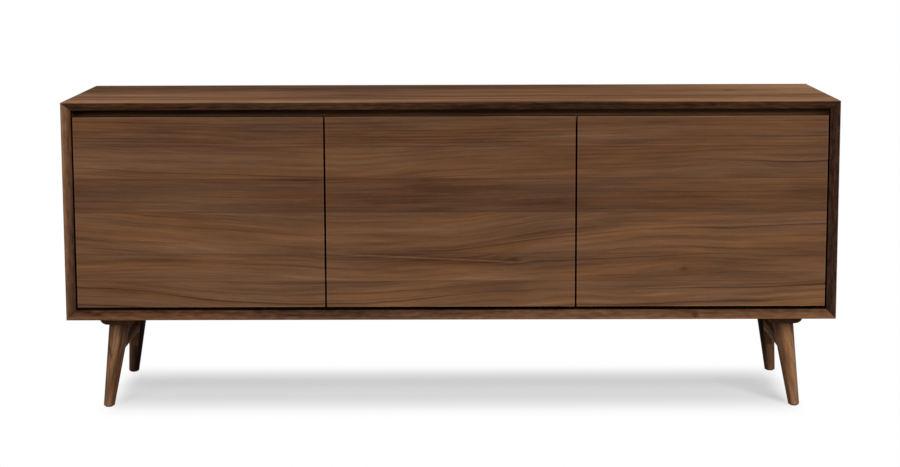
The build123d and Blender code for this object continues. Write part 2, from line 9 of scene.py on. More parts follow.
# %% Load the model
import json
import math
import random
from collections import namedtuple

import bmesh
import bpy
from mathutils import Euler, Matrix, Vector


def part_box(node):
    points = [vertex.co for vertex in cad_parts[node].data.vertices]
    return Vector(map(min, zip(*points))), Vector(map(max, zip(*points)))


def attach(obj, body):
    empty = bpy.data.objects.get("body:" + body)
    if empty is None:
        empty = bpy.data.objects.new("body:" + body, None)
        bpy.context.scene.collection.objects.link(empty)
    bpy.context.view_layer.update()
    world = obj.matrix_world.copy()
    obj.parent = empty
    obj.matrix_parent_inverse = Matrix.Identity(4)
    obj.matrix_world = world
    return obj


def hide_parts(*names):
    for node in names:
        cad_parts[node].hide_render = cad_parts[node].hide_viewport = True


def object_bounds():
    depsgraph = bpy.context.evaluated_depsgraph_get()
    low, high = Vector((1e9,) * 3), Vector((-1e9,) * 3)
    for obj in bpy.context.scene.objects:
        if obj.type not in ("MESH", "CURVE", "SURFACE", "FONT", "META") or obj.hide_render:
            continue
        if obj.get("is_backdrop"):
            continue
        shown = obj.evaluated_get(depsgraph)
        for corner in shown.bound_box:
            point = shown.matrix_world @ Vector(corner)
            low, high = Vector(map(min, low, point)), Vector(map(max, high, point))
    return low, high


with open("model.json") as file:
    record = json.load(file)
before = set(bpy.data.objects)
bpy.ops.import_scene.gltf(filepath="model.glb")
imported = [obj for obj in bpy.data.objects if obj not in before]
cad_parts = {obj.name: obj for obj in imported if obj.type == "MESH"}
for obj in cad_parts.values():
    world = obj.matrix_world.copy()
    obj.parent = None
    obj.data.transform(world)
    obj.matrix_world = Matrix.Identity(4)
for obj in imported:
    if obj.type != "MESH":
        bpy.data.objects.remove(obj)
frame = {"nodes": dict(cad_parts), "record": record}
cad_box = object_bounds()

nodes = frame["nodes"]
bodies = frame["record"]["behaviour"]["bodies"]
body_of_node = {node: body for body, members in bodies.items() for node in members}
scene = bpy.context.scene
scene.view_settings.view_transform = "Standard"

# %% [markdown]
# ## The camera
#
# The picture was taken from about four and a half metres away and 1.2 m above the floor. A view camera
# kept the uprights upright by sliding its film. Blender's lens shift does the same, but it stays on in
# every other view, and a large one would throw the cabinet out of the frame there. So most of the slide
# is a small downward tilt here, and only the rest is shift.

# %% Camera
IMAGE_WIDTH = 900
FOCAL_PIXELS = 1906.4
SENSOR_WIDTH = 36.0
CAMERA_PLACE = (0.0203, -4.7256, 1.1863)
CAMERA_TILT = -7.608
CAMERA_ROLL = 0.185
CAMERA_YAW = 0.244
CAMERA_SHIFT = -0.07

camera_data = bpy.data.cameras.new("camera")
camera_data.sensor_width = SENSOR_WIDTH
camera_data.lens = FOCAL_PIXELS / IMAGE_WIDTH * SENSOR_WIDTH
camera_data.shift_y = CAMERA_SHIFT
camera = bpy.data.objects.new("camera", camera_data)
camera.location = CAMERA_PLACE
camera_turns = (90 + CAMERA_TILT, CAMERA_ROLL, CAMERA_YAW)
camera.rotation_euler = Euler([math.radians(turn) for turn in camera_turns])
scene.collection.objects.link(camera)
scene.camera = camera
print("lens", round(camera_data.lens, 2), "mm")

# %% [markdown]
# ## A shorthand for node trees
#
# Every finish below is a tree of shader nodes, and the screws are a tree of geometry nodes. Written out
# in full, each node takes four or five lines, and the recipe drowns in them. This small class adds a node
# and wires it in one call, so that a finish can be read from top to bottom like a formula.


# %% Nodes and arithmetic
class Wiring:
    """Adds nodes to one tree and wires them up."""

    def __init__(self, tree):
        self.tree = tree

    def feed(self, socket, value):
        """Links a socket to another one, or sets its value."""
        if isinstance(value, bpy.types.NodeSocket):
            self.tree.links.new(value, socket)
        else:
            socket.default_value = value

    def add(self, kind, values=None, **settings):
        """A new node, set up and fed."""
        node = self.tree.nodes.new(kind)
        for name, value in settings.items():
            setattr(node, name, value)
        for name, value in (values or {}).items():
            self.feed(node.inputs[name], value)
        return node

    def math(self, operation, first, second=0.0, third=0.0):
        """One step of arithmetic."""
        values = {0: first, 1: second, 2: third}
        return self.add("ShaderNodeMath", values, operation=operation).outputs[0]

    def plus(self, first, second):
        return self.math("ADD", first, second)

    def minus(self, first, second):
        return self.math("SUBTRACT", first, second)

    def times(self, first, second):
        return self.math("MULTIPLY", first, second)

    def over(self, first, second):
        return self.math("DIVIDE", first, second)

    def weigh(self, value, weight, base):
        """A value times its weight, on top of a base."""
        return self.math("MULTIPLY_ADD", value, weight, base)

    def join(self, x, y, z):
        return self.add("ShaderNodeCombineXYZ", {0: x, 1: y, 2: z}).outputs[0]

    def split(self, vector):
        return self.add("ShaderNodeSeparateXYZ", {0: vector}).outputs


print("node shorthand:", ", ".join(name for name in vars(Wiring) if not name.startswith("_")))

# %% [markdown]
# ## Slopes, noise and colours
#
# A finish on a real surface changes from place to place: along the grain, towards an edge, round a knot.
# The shader can know that from a painted map, which needs unwrapped faces, or from the place itself.
# These CAD pieces are not unwrapped, so each pattern starts from a point's place, and a slope, a soft
# band or a noise of it drives a colour ramp.


# %% Patterns and colours
class FinishWiring(Wiring):
    """Adds what a finish needs: places, slopes, noise and colours."""

    def place(self):
        """Where a point lies on the cabinet, in metres."""
        return self.add("ShaderNodeTexCoord").outputs["Object"]

    def line(self, value, start, end, low=0.0, high=1.0, kind="LINEAR"):
        """A slope from low to high while the value goes from start to end, level before and after."""
        values = {"Value": value, "From Min": start, "From Max": end, "To Min": low, "To Max": high}
        return self.add("ShaderNodeMapRange", values, interpolation_type=kind).outputs[0]

    def step(self, value, start, end, low=0.0, high=1.0):
        """The same slope, eased at both ends."""
        return self.line(value, start, end, low, high, "SMOOTHSTEP")

    def bell(self, value, width):
        """A soft band: 1 where the value is nought, falling away over the width."""
        share = self.over(value, width)
        return self.math("EXPONENT", self.times(self.times(share, share), -1.0))

    def scaled(self, vector, scale):
        return self.add("ShaderNodeVectorMath", {0: vector, 1: scale}, operation="MULTIPLY").outputs[0]

    def noise(self, vector, scale, detail=2.0, roughness=0.5):
        """Soft noise from 0 to 1, with so many lumps to the metre along each axis."""
        vector = self.scaled(vector, scale)
        values = {"Vector": vector, "Scale": 1.0, "Detail": detail, "Roughness": roughness}
        return self.add("ShaderNodeTexNoise", values).outputs[0]

    def centred(self, vector, scale, detail=2.0, roughness=0.5):
        """The same noise, about nought."""
        return self.minus(self.noise(vector, scale, detail, roughness), 0.5)

    def ramp(self, value, stops):
        """A colour from a ramp whose stops are given in the value's own units."""
        low, high = stops[0][0], stops[-1][0]
        node = self.add("ShaderNodeValToRGB", {0: self.line(value, low, high)})
        elements = node.color_ramp.elements
        while len(elements) < len(stops):
            elements.new(1.0)
        for element, (place, colour) in zip(elements, stops):
            element.position = (place - low) / (high - low)
            element.color = (*colour, 1.0)
        return node.outputs[0]

    def mix(self, share, first, second, blend="MIX"):
        """A colour between two, or the second one laid over the first."""
        values = {0: share, 6: first, 7: second}
        return self.add("ShaderNodeMix", values, data_type="RGBA", blend_type=blend).outputs[2]

    def surface(self, values):
        """Ends a finish in one Principled shader."""
        shader = self.add("ShaderNodeBsdfPrincipled", values)
        self.add("ShaderNodeOutputMaterial", {"Surface": shader.outputs[0]})


print("for finishes:", ", ".join(name for name in vars(FinishWiring) if not name.startswith("_")))


# %% A new material
def new_material(name):
    """An empty material and its wiring."""
    material = bpy.data.materials.new(name)
    material.use_nodes = True
    material.node_tree.nodes.clear()
    return material, FinishWiring(material.node_tree)


def linear(red, green, blue):
    """A colour as a picture shows it, from 0 to 255, as the shader wants it."""
    return tuple(
        c / 12.92 if c <= 0.04045 else ((c + 0.055) / 1.055) ** 2.4
        for c in (red / 255, green / 255, blue / 255)
    )


print("a mid walnut brown is", [round(c, 3) for c in linear(100, 70, 48)], "in the shader")

# %% [markdown]
# ## The figure of walnut
#
# Walnut shows many things at once: wide ribbons of lighter and darker wood, growth lines that wander
# along the board, streaks and fibres, and short dark pores. All of them follow one warped coordinate, the
# distance across the board, so they bend together round a knot. A picture of wood could not run on from
# door to door or into the edges, so the figure is built as a solid field, in one node group that every
# walnut piece shares.

# %% The soft layers
Layer = namedtuple("Layer", "scale detail roughness weight")
SOFT_LAYERS = {
    "mottle": Layer((4.0, 8.0, 10.0), 1.0, 0.50, 0.22),
    "streaks": Layer((3.4, 60.0, 85.0), 2.0, 0.55, 0.43),
    "strands": Layer((6.5, 150.0, 230.0), 2.0, 0.55, 0.33),
    "fibres": Layer((26.0, 480.0, 560.0), 2.0, 0.60, 0.24),
}
RIBBON_SCALE = (1.7, 9.0, 17.0)
RIBBON_ROUGHNESS = 0.55
WARMTH_SCALE = (2.2, 12.0, 26.0)
MEAN_SHADE = 0.57
print("the figure has ribbons,", ", ".join(SOFT_LAYERS), "and growth lines")

# %% Growth lines
LINE_SHARPNESS = 6.5
LINE_DARK = -0.58
HAIRS_PER_LINE = 2.7
HAIR_SHARPNESS = 2.0
HAIR_DARK = -0.18
RING_END = (0.94, 1.0)
RING_SPREAD = 1.3
STRAY_SCALE = (1.0, 20.0, 24.0)
STRAY = 1.9
FADE_SCALE = (1.5, 20.0, 40.0)
FADE_EDGE = (0.32, 0.62)


def rings(wiring, phase, sharpness):
    """Dark lines that deepen slowly and end sharply, each with a strength of its own."""
    within = wiring.math("FRACT", phase)
    late_wood = wiring.math("POWER", within, sharpness)
    late_wood = wiring.times(late_wood, wiring.step(within, *RING_END, 1.0, 0.0))
    number = wiring.math("FLOOR", phase)
    strength = wiring.add("ShaderNodeTexWhiteNoise", {"W": number}, noise_dimensions="1D").outputs[0]
    return wiring.times(late_wood, wiring.math("POWER", strength, RING_SPREAD))


def growth_lines(wiring, flow, across, lines_per_metre):
    """The growth lines, which fade here and there, and the finer hair lines among them."""
    stray = wiring.noise(flow, STRAY_SCALE)
    phase = wiring.weigh(across, lines_per_metre, wiring.times(stray, STRAY))
    fade = wiring.step(wiring.noise(flow, FADE_SCALE, 1.0), *FADE_EDGE)
    lines = wiring.times(rings(wiring, phase, LINE_SHARPNESS), fade)
    hairs = rings(wiring, wiring.times(phase, HAIRS_PER_LINE), HAIR_SHARPNESS)
    return lines, hairs


print(HAIRS_PER_LINE, "hair lines to a growth line")

# %% The figure as a node group
SLOW_WAVE = 0.036
SLOW_SCALE = (1.5, 2.6, 2.6)
QUICK_WAVE = 0.007
QUICK_SCALE = (4.5, 11.0, 11.0)
PORE_SCALE = (55.0, 1000.0, 1150.0)
PORE_EDGE = (0.62, 0.74)
PORE_DARK = -0.10


def walnut_figure_group():
    """A node group that turns grain coordinates (along, deep, across) into shade, warmth and pores."""
    tree = bpy.data.node_groups.new("walnut_figure", "ShaderNodeTree")
    tree.interface.new_socket("Grain", in_out="INPUT", socket_type="NodeSocketVector")
    for name in ("Bend", "Lines per metre", "Waviness", "Ribbons"):
        tree.interface.new_socket(name, in_out="INPUT", socket_type="NodeSocketFloat")
    for name in ("Shade", "Warmth", "Pores"):
        tree.interface.new_socket(name, in_out="OUTPUT", socket_type="NodeSocketFloat")
    wiring = FinishWiring(tree)
    given = wiring.add("NodeGroupInput").outputs
    along, deep, across = wiring.split(given["Grain"])

    slow = wiring.centred(given["Grain"], SLOW_SCALE, 1.0)
    quick = wiring.centred(given["Grain"], QUICK_SCALE)
    wave = wiring.weigh(slow, 2 * SLOW_WAVE, wiring.times(quick, 2 * QUICK_WAVE))
    bent = wiring.weigh(wave, given["Waviness"], wiring.plus(across, given["Bend"]))
    flow = wiring.join(along, deep, bent)

    ribbons = wiring.centred(flow, RIBBON_SCALE, 2.0, RIBBON_ROUGHNESS)
    shade = wiring.weigh(ribbons, given["Ribbons"], MEAN_SHADE)
    for layer in SOFT_LAYERS.values():
        soft = wiring.centred(flow, layer.scale, layer.detail, layer.roughness)
        shade = wiring.weigh(soft, layer.weight, shade)
    lines, hairs = growth_lines(wiring, flow, bent, given["Lines per metre"])
    pores = wiring.step(wiring.noise(flow, PORE_SCALE, 1.0), *PORE_EDGE)
    for mark, dark in ((lines, LINE_DARK), (hairs, HAIR_DARK), (pores, PORE_DARK)):
        shade = wiring.weigh(mark, dark, shade)
    warmth = wiring.noise(flow, WARMTH_SCALE)
    wiring.add("NodeGroupOutput", {"Shade": shade, "Warmth": warmth, "Pores": pores})
    return tree


walnut_figure = walnut_figure_group()
print("walnut figure:", len(walnut_figure.nodes), "nodes")

# %% [markdown]
# ## Boards
#
# A wide panel is laid up from several boards, which show as straight seams with a change of tone. A
# material for each board would need a panel cut into strips. A colour ramp across the panel is a neat
# table instead, with a stop at both edges of every board: red holds the board's tone, green how close its
# growth lines are, and blue slides the figure so that no two boards match. Where no picture shows the
# boards, a seeded draw chooses them, so that every run gives the same panel.

# %% Boards
SEAM = 0.0003
BOARD_SPREAD = 0.08
Board = namedtuple("Board", "low_tone high_tone closeness slide")


def grain_coordinates(wiring, order, place=None, turn=None):
    """A point's place put in the order along the grain, into the wood, across the boards."""
    vector = wiring.place()
    if turn is not None:
        values = {"Vector": vector, "Location": place, "Rotation": turn}
        vector = wiring.add("ShaderNodeMapping", values, vector_type="TEXTURE").outputs[0]
    parts = dict(zip("xyz", wiring.split(vector)))
    return [parts[letter] for letter in order]


def board_table(wiring, across, edges, boards):
    """Each board's tone, which changes from its low edge to its high one, line closeness and slide."""
    stops = []
    for start, end, board in zip(edges, edges[1:], boards):
        stops.append((start, (board.low_tone, board.closeness, board.slide)))
        stops.append((end - SEAM, (board.high_tone, board.closeness, board.slide)))
    return wiring.split(wiring.ramp(across, stops))


def even_boards(low, high, count, seed, tone, spread=BOARD_SPREAD):
    """Edges and a seeded mix of boards for a panel whose boards no picture shows."""
    draw = random.Random(seed)
    edges = [low + (high - low) * index / count for index in range(count + 1)]
    boards = []
    for _ in range(count):
        own_tone = tone + draw.uniform(-spread, spread)
        boards.append(Board(own_tone, own_tone, draw.random(), draw.random()))
    return edges, boards


print("a board has", ", ".join(Board._fields))

# %% [markdown]
# ## Knots
#
# Where a branch grew, the grain parts and flows round a small dark eye. The surface stays flat there, so
# a knot needs no geometry: one soft spot pushes the grain's warped coordinate aside, and a smaller spot
# darkens the middle. Noise alone never puts such an eye in a given place.

# %% Knots
EYE_EDGE = (0.1, 0.9)
Knot = namedtuple("Knot", "place reach push eye dark")


def spot(wiring, along, across, place, size):
    """A soft spot: 1 at its middle, falling away over its size."""
    right = wiring.bell(wiring.minus(along, place[0]), size[0])
    up = wiring.bell(wiring.minus(across, place[1]), size[1])
    return wiring.times(right, up)


def knot_marks(wiring, along, across, knot):
    """How far a knot pushes the grain aside at a point, and how dark its eye is there."""
    near = spot(wiring, along, across, knot.place, knot.reach)
    up = wiring.over(wiring.minus(across, knot.place[1]), knot.reach[1])
    shove = wiring.times(wiring.times(near, up), -knot.push)
    eye = spot(wiring, along, across, knot.place, knot.eye)
    return shove, wiring.step(eye, *EYE_EDGE, 0.0, -knot.dark)


def bent_grain(wiring, along, across, looseness, knots, sweep):
    """How far a sweep and the knots push the grain aside, and how dark the knots' eyes are."""
    bend = wiring.times(looseness, sweep(wiring, along)) if sweep else 0.0
    eyes = 0.0
    for knot in knots:
        shove, dark = knot_marks(wiring, along, across, knot)
        bend = wiring.plus(shove, bend)
        eyes = wiring.plus(dark, eyes)
    return bend, eyes


print("a knot has", ", ".join(Knot._fields))

# %% [markdown]
# ## The oiled finish
#
# Oil darkens walnut and leaves it nearly matt. The shade picks a colour from a ramp of six browns, from a
# deep gap to pale sapwood, a slow noise tints it warmer or cooler, and the pores are duller and lie a
# little lower than the rest. The specular level is low: under a white sky, a normal one would lay a haze
# over every panel that is seen at a slant, which oiled wood doesn't show.

# %% Walnut
WALNUT_STOPS = (
    # The stop below nought is near black, and serves the painted shade in gaps and on rims.
    (-0.50, linear(9, 6, 5)),
    (0.00, linear(46, 30, 22)),
    (0.26, linear(78, 53, 38)),
    (0.50, linear(100, 70, 48)),
    (0.74, linear(119, 85, 59)),
    (1.00, linear(146, 110, 80)),
)
WARM_TINT = (1.055, 0.97, 0.89, 1.0)
COOL_TINT = (0.965, 0.995, 1.08, 1.0)
WARMTH_EDGE = (0.34, 0.68)
FEWEST_LINES = 38.0
MOST_LINES = 150.0
SLIDE = 9.0
SHADE_GLOSS = -0.10
PORE_GLOSS = 0.12
WOOD_RELIEF = {"Strength": 0.35, "Distance": 0.0002}


def walnut(
    name, order, edges, boards, *, waviness=1.0, ribbons=0.5, contrast=1.0, fineness=1.0, roughness=0.74,
    sheen=0.02, knots=(), sweep=None, shading=None, **placing
):
    """An oiled walnut finish for pieces whose grain runs in one direction."""
    material, wiring = new_material(name)
    along, deep, across = grain_coordinates(wiring, order, **placing)
    tone, closeness, slide = board_table(wiring, across, edges, boards)
    looseness = wiring.weigh(closeness, -waviness, waviness)
    bend, eyes = bent_grain(wiring, along, across, looseness, knots, sweep)
    slid = wiring.weigh(slide, SLIDE, along)
    sunk = wiring.weigh(slide, SLIDE, deep)
    values = {
        "Grain": wiring.scaled(wiring.join(slid, sunk, across), (fineness, fineness, fineness)),
        "Bend": bend,
        "Lines per metre": wiring.weigh(closeness, MOST_LINES - FEWEST_LINES, FEWEST_LINES),
        "Waviness": looseness,
        "Ribbons": ribbons,
    }
    figure = wiring.add("ShaderNodeGroup", values, node_tree=walnut_figure).outputs

    lighter, calm = shading(wiring) if shading else (0.0, 0.0)
    drawn = wiring.minus(figure["Shade"], 0.5)
    drawn = wiring.times(drawn, wiring.weigh(calm, -contrast, contrast))
    shade = wiring.plus(wiring.plus(drawn, tone), wiring.plus(eyes, lighter))
    tint = wiring.mix(wiring.step(figure["Warmth"], *WARMTH_EDGE), COOL_TINT, WARM_TINT)
    gloss = wiring.weigh(shade, SHADE_GLOSS, roughness - 0.5 * SHADE_GLOSS)
    relief = wiring.minus(shade, figure["Pores"])
    wiring.surface({
        "Base Color": wiring.mix(1.0, wiring.ramp(shade, WALNUT_STOPS), tint, "MULTIPLY"),
        "Roughness": wiring.weigh(figure["Pores"], PORE_GLOSS, gloss),
        "Specular IOR Level": sheen,
        "Normal": wiring.add("ShaderNodeBump", {**WOOD_RELIEF, "Height": relief}).outputs[0],
    })
    return material


def dress(material, *names):
    """Gives a finish to CAD nodes, in place of the plain one they came with."""
    for name in names:
        nodes[name].data.materials.clear()
        nodes[name].data.materials.append(material)
    print(material.name, "on", ", ".join(names))


print(len(WALNUT_STOPS), "browns, from", FEWEST_LINES, "to", MOST_LINES, "growth lines to the metre")

# %% [markdown]
# ## The doors' edges
#
# A thin solid lipping shows as a paler rim round each door's face, which is also a painted highlight
# where the eased edge would catch light. The arris beside a gap and the edges behind the face get painted
# shade, so that a gap reads as a black line. The lipping could be a strip of its own, but it is flush and
# only a few millimetres wide, so its shade is worked out from the distance to the nearest edge. The doors
# repeat at an even pitch, and one fraction of that pitch measures all three.

# %% Door edges
door_low, door_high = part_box("left_door")
door_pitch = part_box("middle_door")[0].x - door_low.x
door_width = door_high.x - door_low.x
LIPPING = 0.0035
# Partly the lipping's own paler tone, partly a painted highlight on the eased edge.
LIPPING_TONE_AND_HIGHLIGHT = 0.24
# Painted shade on the arris beside a gap and on the edges behind the face.
ARRIS = (0.0005, 0.0011)
ARRIS_PAINTED_SHADE = -0.75
EDGE = (0.0008, 0.0016)
EDGE_PAINTED_SHADE = -0.55
FACE_DEPTH = (0.0005, 0.0014)


def door_edge_shading(wiring, x, y, z):
    """A paler lipping with a painted highlight, and painted shade at the gaps' arris and edges."""
    turn = wiring.math("FRACT", wiring.over(wiring.minus(x, door_low.x), door_pitch))
    inside = wiring.times(turn, door_pitch)
    from_side = wiring.math("MINIMUM", inside, wiring.minus(door_width, inside))
    from_gap = wiring.math("MINIMUM", from_side, wiring.minus(z, door_low.z))
    from_edge = wiring.math("MINIMUM", from_gap, wiring.minus(door_high.z, z))
    face = wiring.step(from_edge, 0.0, LIPPING, LIPPING_TONE_AND_HIGHLIGHT, 0.0)
    face = wiring.plus(face, wiring.step(from_gap, *ARRIS, ARRIS_PAINTED_SHADE, 0.0))
    edge = wiring.step(from_edge, *EDGE, EDGE_PAINTED_SHADE, 0.0)
    behind = wiring.step(wiring.minus(y, door_low.y), *FACE_DEPTH)
    return wiring.add("ShaderNodeMix", {0: behind, 2: face, 3: edge}, data_type="FLOAT").outputs[0]


print("doors", round(door_width, 4), "wide, every", round(door_pitch, 4))

# %% [markdown]
# ## The feather
#
# Low on the middle door, one pale line runs through a dusky band: a feather, where the wood of a fork was
# cut through. It is a single mark in a given place, which noise can't give, so it is drawn along a
# straight line as two soft bands, a narrow pale one on a wide dark one that deepens to the right.

# %% Feather
FEATHER_START = (-0.275, 0.381)
FEATHER_END = (0.165, 0.360)
FEATHER_FADES_IN = (-0.345, -0.215)
FEATHER_FADES_OUT = (0.105, 0.215)
FEATHER_WIDTH = 0.0020
FEATHER_LIGHT = 0.36
DUSK_WIDTH = 0.013
DUSK_PLACE = (-0.28, 0.02)
DUSK_DARK = (-0.081, -0.27)


def feather_shading(wiring, x, z):
    """One pale line in a dark band, across the middle door."""
    slope = (FEATHER_END[1] - FEATHER_START[1]) / (FEATHER_END[0] - FEATHER_START[0])
    level = wiring.weigh(wiring.minus(x, FEATHER_START[0]), slope, FEATHER_START[1])
    away = wiring.minus(z, level)
    feather = wiring.times(wiring.bell(away, FEATHER_WIDTH), FEATHER_LIGHT)
    dusk = wiring.step(x, *DUSK_PLACE, *DUSK_DARK)
    feather = wiring.weigh(wiring.bell(away, DUSK_WIDTH), dusk, feather)
    feather = wiring.times(feather, wiring.step(x, *FEATHER_FADES_IN))
    return wiring.times(feather, wiring.step(x, *FEATHER_FADES_OUT, 1.0, 0.0))


print("feather from", FEATHER_START, "to", FEATHER_END)

# %% [markdown]
# ## The doors
#
# The three doors are cut from one run of veneer, so the grain crosses the gaps without a break. A
# material for each door would start the grain anew three times. Because every CAD node sits at the origin
# with its place in its mesh, Object coordinates run on over all three, and one material does it. Six
# boards show, with fine glue lines between them: the top one and the third are darker and close-grained,
# the others paler with longer waves. The grain dips in one long valley, and two small knots sit below the
# middle.

# %% Doors
door_edges = (door_low.z, 0.315, 0.382, 0.483, 0.564, 0.641, door_high.z)
door_boards = (
    Board(0.61, 0.53, 0.10, 0.11),
    Board(0.63, 0.47, 0.25, 0.43),
    Board(0.59, 0.51, 0.05, 0.71),
    Board(0.37, 0.37, 0.75, 0.29),
    Board(0.51, 0.45, 0.30, 0.90),
    Board(0.43, 0.39, 0.80, 0.57),
)
door_knots = (
    Knot(place=(0.561, 0.344), reach=(0.10, 0.018), push=0.014, eye=(0.010, 0.005), dark=0.16),
    Knot(place=(0.157, 0.366), reach=(0.09, 0.022), push=0.018, eye=(0.014, 0.006), dark=0.14),
)
GLUE_LINE = 0.0010
GLUE_DARK = -0.14
MIDDLE_WIDTH = 0.34
MIDDLE_DARK = -0.05
VALLEY_PLACE = -0.30
VALLEY_WIDTH = 0.50
VALLEY_DEPTH = 0.045


def door_shading(wiring):
    """A door's edges, its slightly darker middle, the glue lines between boards, and the feather."""
    x, y, z = wiring.split(wiring.place())
    shade = door_edge_shading(wiring, x, y, z)
    shade = wiring.weigh(wiring.bell(x, MIDDLE_WIDTH), MIDDLE_DARK, shade)
    for seam in door_edges[1:-1]:
        glue = wiring.bell(wiring.minus(z, seam), GLUE_LINE)
        shade = wiring.weigh(glue, GLUE_DARK, shade)
    return wiring.plus(feather_shading(wiring, x, z), shade), 0.0


def door_sweep(wiring, along):
    """The grain dips in one long valley beside the left door's free edge."""
    valley = wiring.bell(wiring.minus(along, VALLEY_PLACE), VALLEY_WIDTH)
    return wiring.times(valley, VALLEY_DEPTH)


door_walnut = walnut(
    "door_walnut", "xyz", door_edges, door_boards, contrast=1.15, knots=door_knots, sweep=door_sweep,
    shading=door_shading,
)
dress(door_walnut, "left_door", "middle_door", "right_door")

# %% [markdown]
# ## The bevel of the case
#
# The case's front edges are bevelled inwards. The bevel cuts below the veneer into solid wood, where the
# grain curls in short patches. Its tone slopes from the outer edge to the inner one, partly the solid
# wood's own tone and partly painted light and shade, and the rim behind it gets painted shade beside the
# doors. Bevel and rim belong to each panel's own mesh, and a second material would need its faces picked
# out. It is simpler to work the shade out from how far a point lies behind the front and below the
# panel's outer face.

# %% Bevel
case_low, case_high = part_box("top_panel")
PANEL = case_high.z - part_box("finger_rail")[1].z
VENEER = (0.0004, 0.0014)
BEVEL_END = (door_low.y - 0.0005, door_low.y + 0.0015)
RIM_END = (door_high.y - 0.006, door_high.y)
RIM_DEPTH = (0.80 * PANEL, 0.98 * PANEL)
BEVEL_CALM = 0.35
CURL_ALONG = 34.0
CURL_ACROSS = 130.0
CURL_SHADE = 0.75


def bevel_shading(letter, outer, outer_tone_and_light, inner_tone_and_shade, rim_painted_shade=0.0, drift=0.0, along="x"):
    """The solid front edge, with painted light and shade on its bevel and painted shade on the rim."""

    def shading(wiring):
        place = wiring.place()
        parts = dict(zip("xyz", wiring.split(place)))
        below = wiring.math("ABSOLUTE", wiring.minus(parts[letter], outer))
        cut = wiring.times(wiring.step(parts["y"], *BEVEL_END, 1.0, 0.0), wiring.step(below, *VENEER))
        curl_scale = [CURL_ALONG if name == along else CURL_ACROSS for name in "xyz"]
        # Painted light and shade: a slope from the outer edge of the bevel to its inner one.
        shade = wiring.line(below, 0.0, PANEL, outer_tone_and_light, inner_tone_and_shade)
        shade = wiring.weigh(parts[along], drift, shade)
        shade = wiring.weigh(wiring.centred(place, curl_scale), CURL_SHADE, shade)
        # Painted shade on the rim behind the bevel, beside the doors.
        rim = wiring.times(wiring.step(below, *RIM_DEPTH), rim_painted_shade)
        rim = wiring.times(rim, wiring.step(parts["y"], *BEVEL_END))
        rim = wiring.times(rim, wiring.step(parts["y"], *RIM_END, 1.0, 0.0))
        return wiring.weigh(cut, shade, rim), wiring.times(cut, BEVEL_CALM)

    return shading


print("panels", round(PANEL, 4), "thick, bevelled back to y =", round(door_low.y, 4))

# %% [markdown]
# ## The top
#
# The top runs its grain along the cabinet, in seven boards side by side across its depth, with soft
# clouds and one small knot to the right. A painted light pales the boards a little towards both ends at
# the front and a lot towards the right at the back, and turns into painted shade at the ends of the
# bevel. A lamp could give that too, but it would change the rest of the cabinet with it, so it is painted
# into the finish.

# %% Top
top_edges = (case_low.y, -0.17, -0.11, -0.02, 0.04, 0.11, 0.19, case_high.y)
top_boards = (
    Board(0.62, 0.60, 0.30, 0.12),
    Board(0.57, 0.55, 0.60, 0.55),
    Board(0.53, 0.51, 0.20, 0.83),
    Board(0.50, 0.47, 0.50, 0.31),
    Board(0.39, 0.37, 0.35, 0.67),
    Board(0.32, 0.31, 0.70, 0.05),
    Board(0.34, 0.33, 0.45, 0.94),
)
top_knots = (
    Knot(place=(0.70, 0.06), reach=(0.08, 0.035), push=0.02, eye=(0.018, 0.012), dark=0.38),
)
top_bevel = bevel_shading("z", case_high.z, outer_tone_and_light=-0.19, inner_tone_and_shade=-0.28)
TOP_DEPTH = (-0.10, 0.18)
# Painted light along the boards, reversed as painted shade on the bevel.
TOP_PAINTED_LIGHT_DRIFT = (0.03, 0.38)
TOP_PAINTED_LIGHT_CURVE = (0.22, 0.38)
TOP_LIGHT_ON_FACE_AND_BEVEL = (1.0, -0.7)
TOP_CLOUDS = (9.0, 25.0, 25.0)
TOP_CLOUD_SHADE = 0.32


def top_shading(wiring):
    """The top's bevel, its clouds, and a painted light that slopes along its boards."""
    place = wiring.place()
    x, y, z = wiring.split(place)
    lighter, calm = top_bevel(wiring)
    lighter = wiring.weigh(wiring.centred(place, TOP_CLOUDS), TOP_CLOUD_SHADE, lighter)
    curve = wiring.step(y, *TOP_DEPTH, *TOP_PAINTED_LIGHT_CURVE)
    slope = wiring.weigh(x, curve, wiring.step(y, *TOP_DEPTH, *TOP_PAINTED_LIGHT_DRIFT))
    face = wiring.step(wiring.minus(case_high.z, z), *VENEER, *TOP_LIGHT_ON_FACE_AND_BEVEL)
    return wiring.weigh(wiring.times(x, slope), face, lighter), calm


top_walnut = walnut(
    "top_walnut", "xzy", top_edges, top_boards, ribbons=0.9, contrast=1.2, sheen=0.002, knots=top_knots,
    shading=top_shading,
)
dress(top_walnut, "top_panel")

# %% [markdown]
# ## Bottom and sides
#
# The bottom runs its grain along the cabinet too, and the sides run theirs upright, which is why the
# mitre shows as a clean diagonal at each front corner. They could share the top's boards, but a joiner
# wouldn't have two panels alike, so each panel draws its own, and each bevel gets painted light and shade
# of its own.

# %% Bottom and sides
depth_edges = (case_low.y, case_high.y)
bottom_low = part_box("bottom_panel")[0]
bottom_knots = (
    Knot(place=(0.589, -0.222), reach=(0.05, 0.016), push=0.012, eye=(0.009, 0.008), dark=0.3),
)
edges, boards = even_boards(*depth_edges, count=5, seed=23, tone=0.44)
# Painted shade towards the bevel's inner edge and on the rim behind it.
bottom_shades = {"outer_tone_and_light": 0.04, "inner_tone_and_shade": -0.26, "rim_painted_shade": -0.8, "drift": 0.21}
bottom_bevel = bevel_shading("z", bottom_low.z, **bottom_shades)
bottom_walnut = walnut(
    "bottom_walnut", "xzy", edges, boards, ribbons=0.9, contrast=1.3, knots=bottom_knots,
    shading=bottom_bevel,
)
dress(bottom_walnut, "bottom_panel")
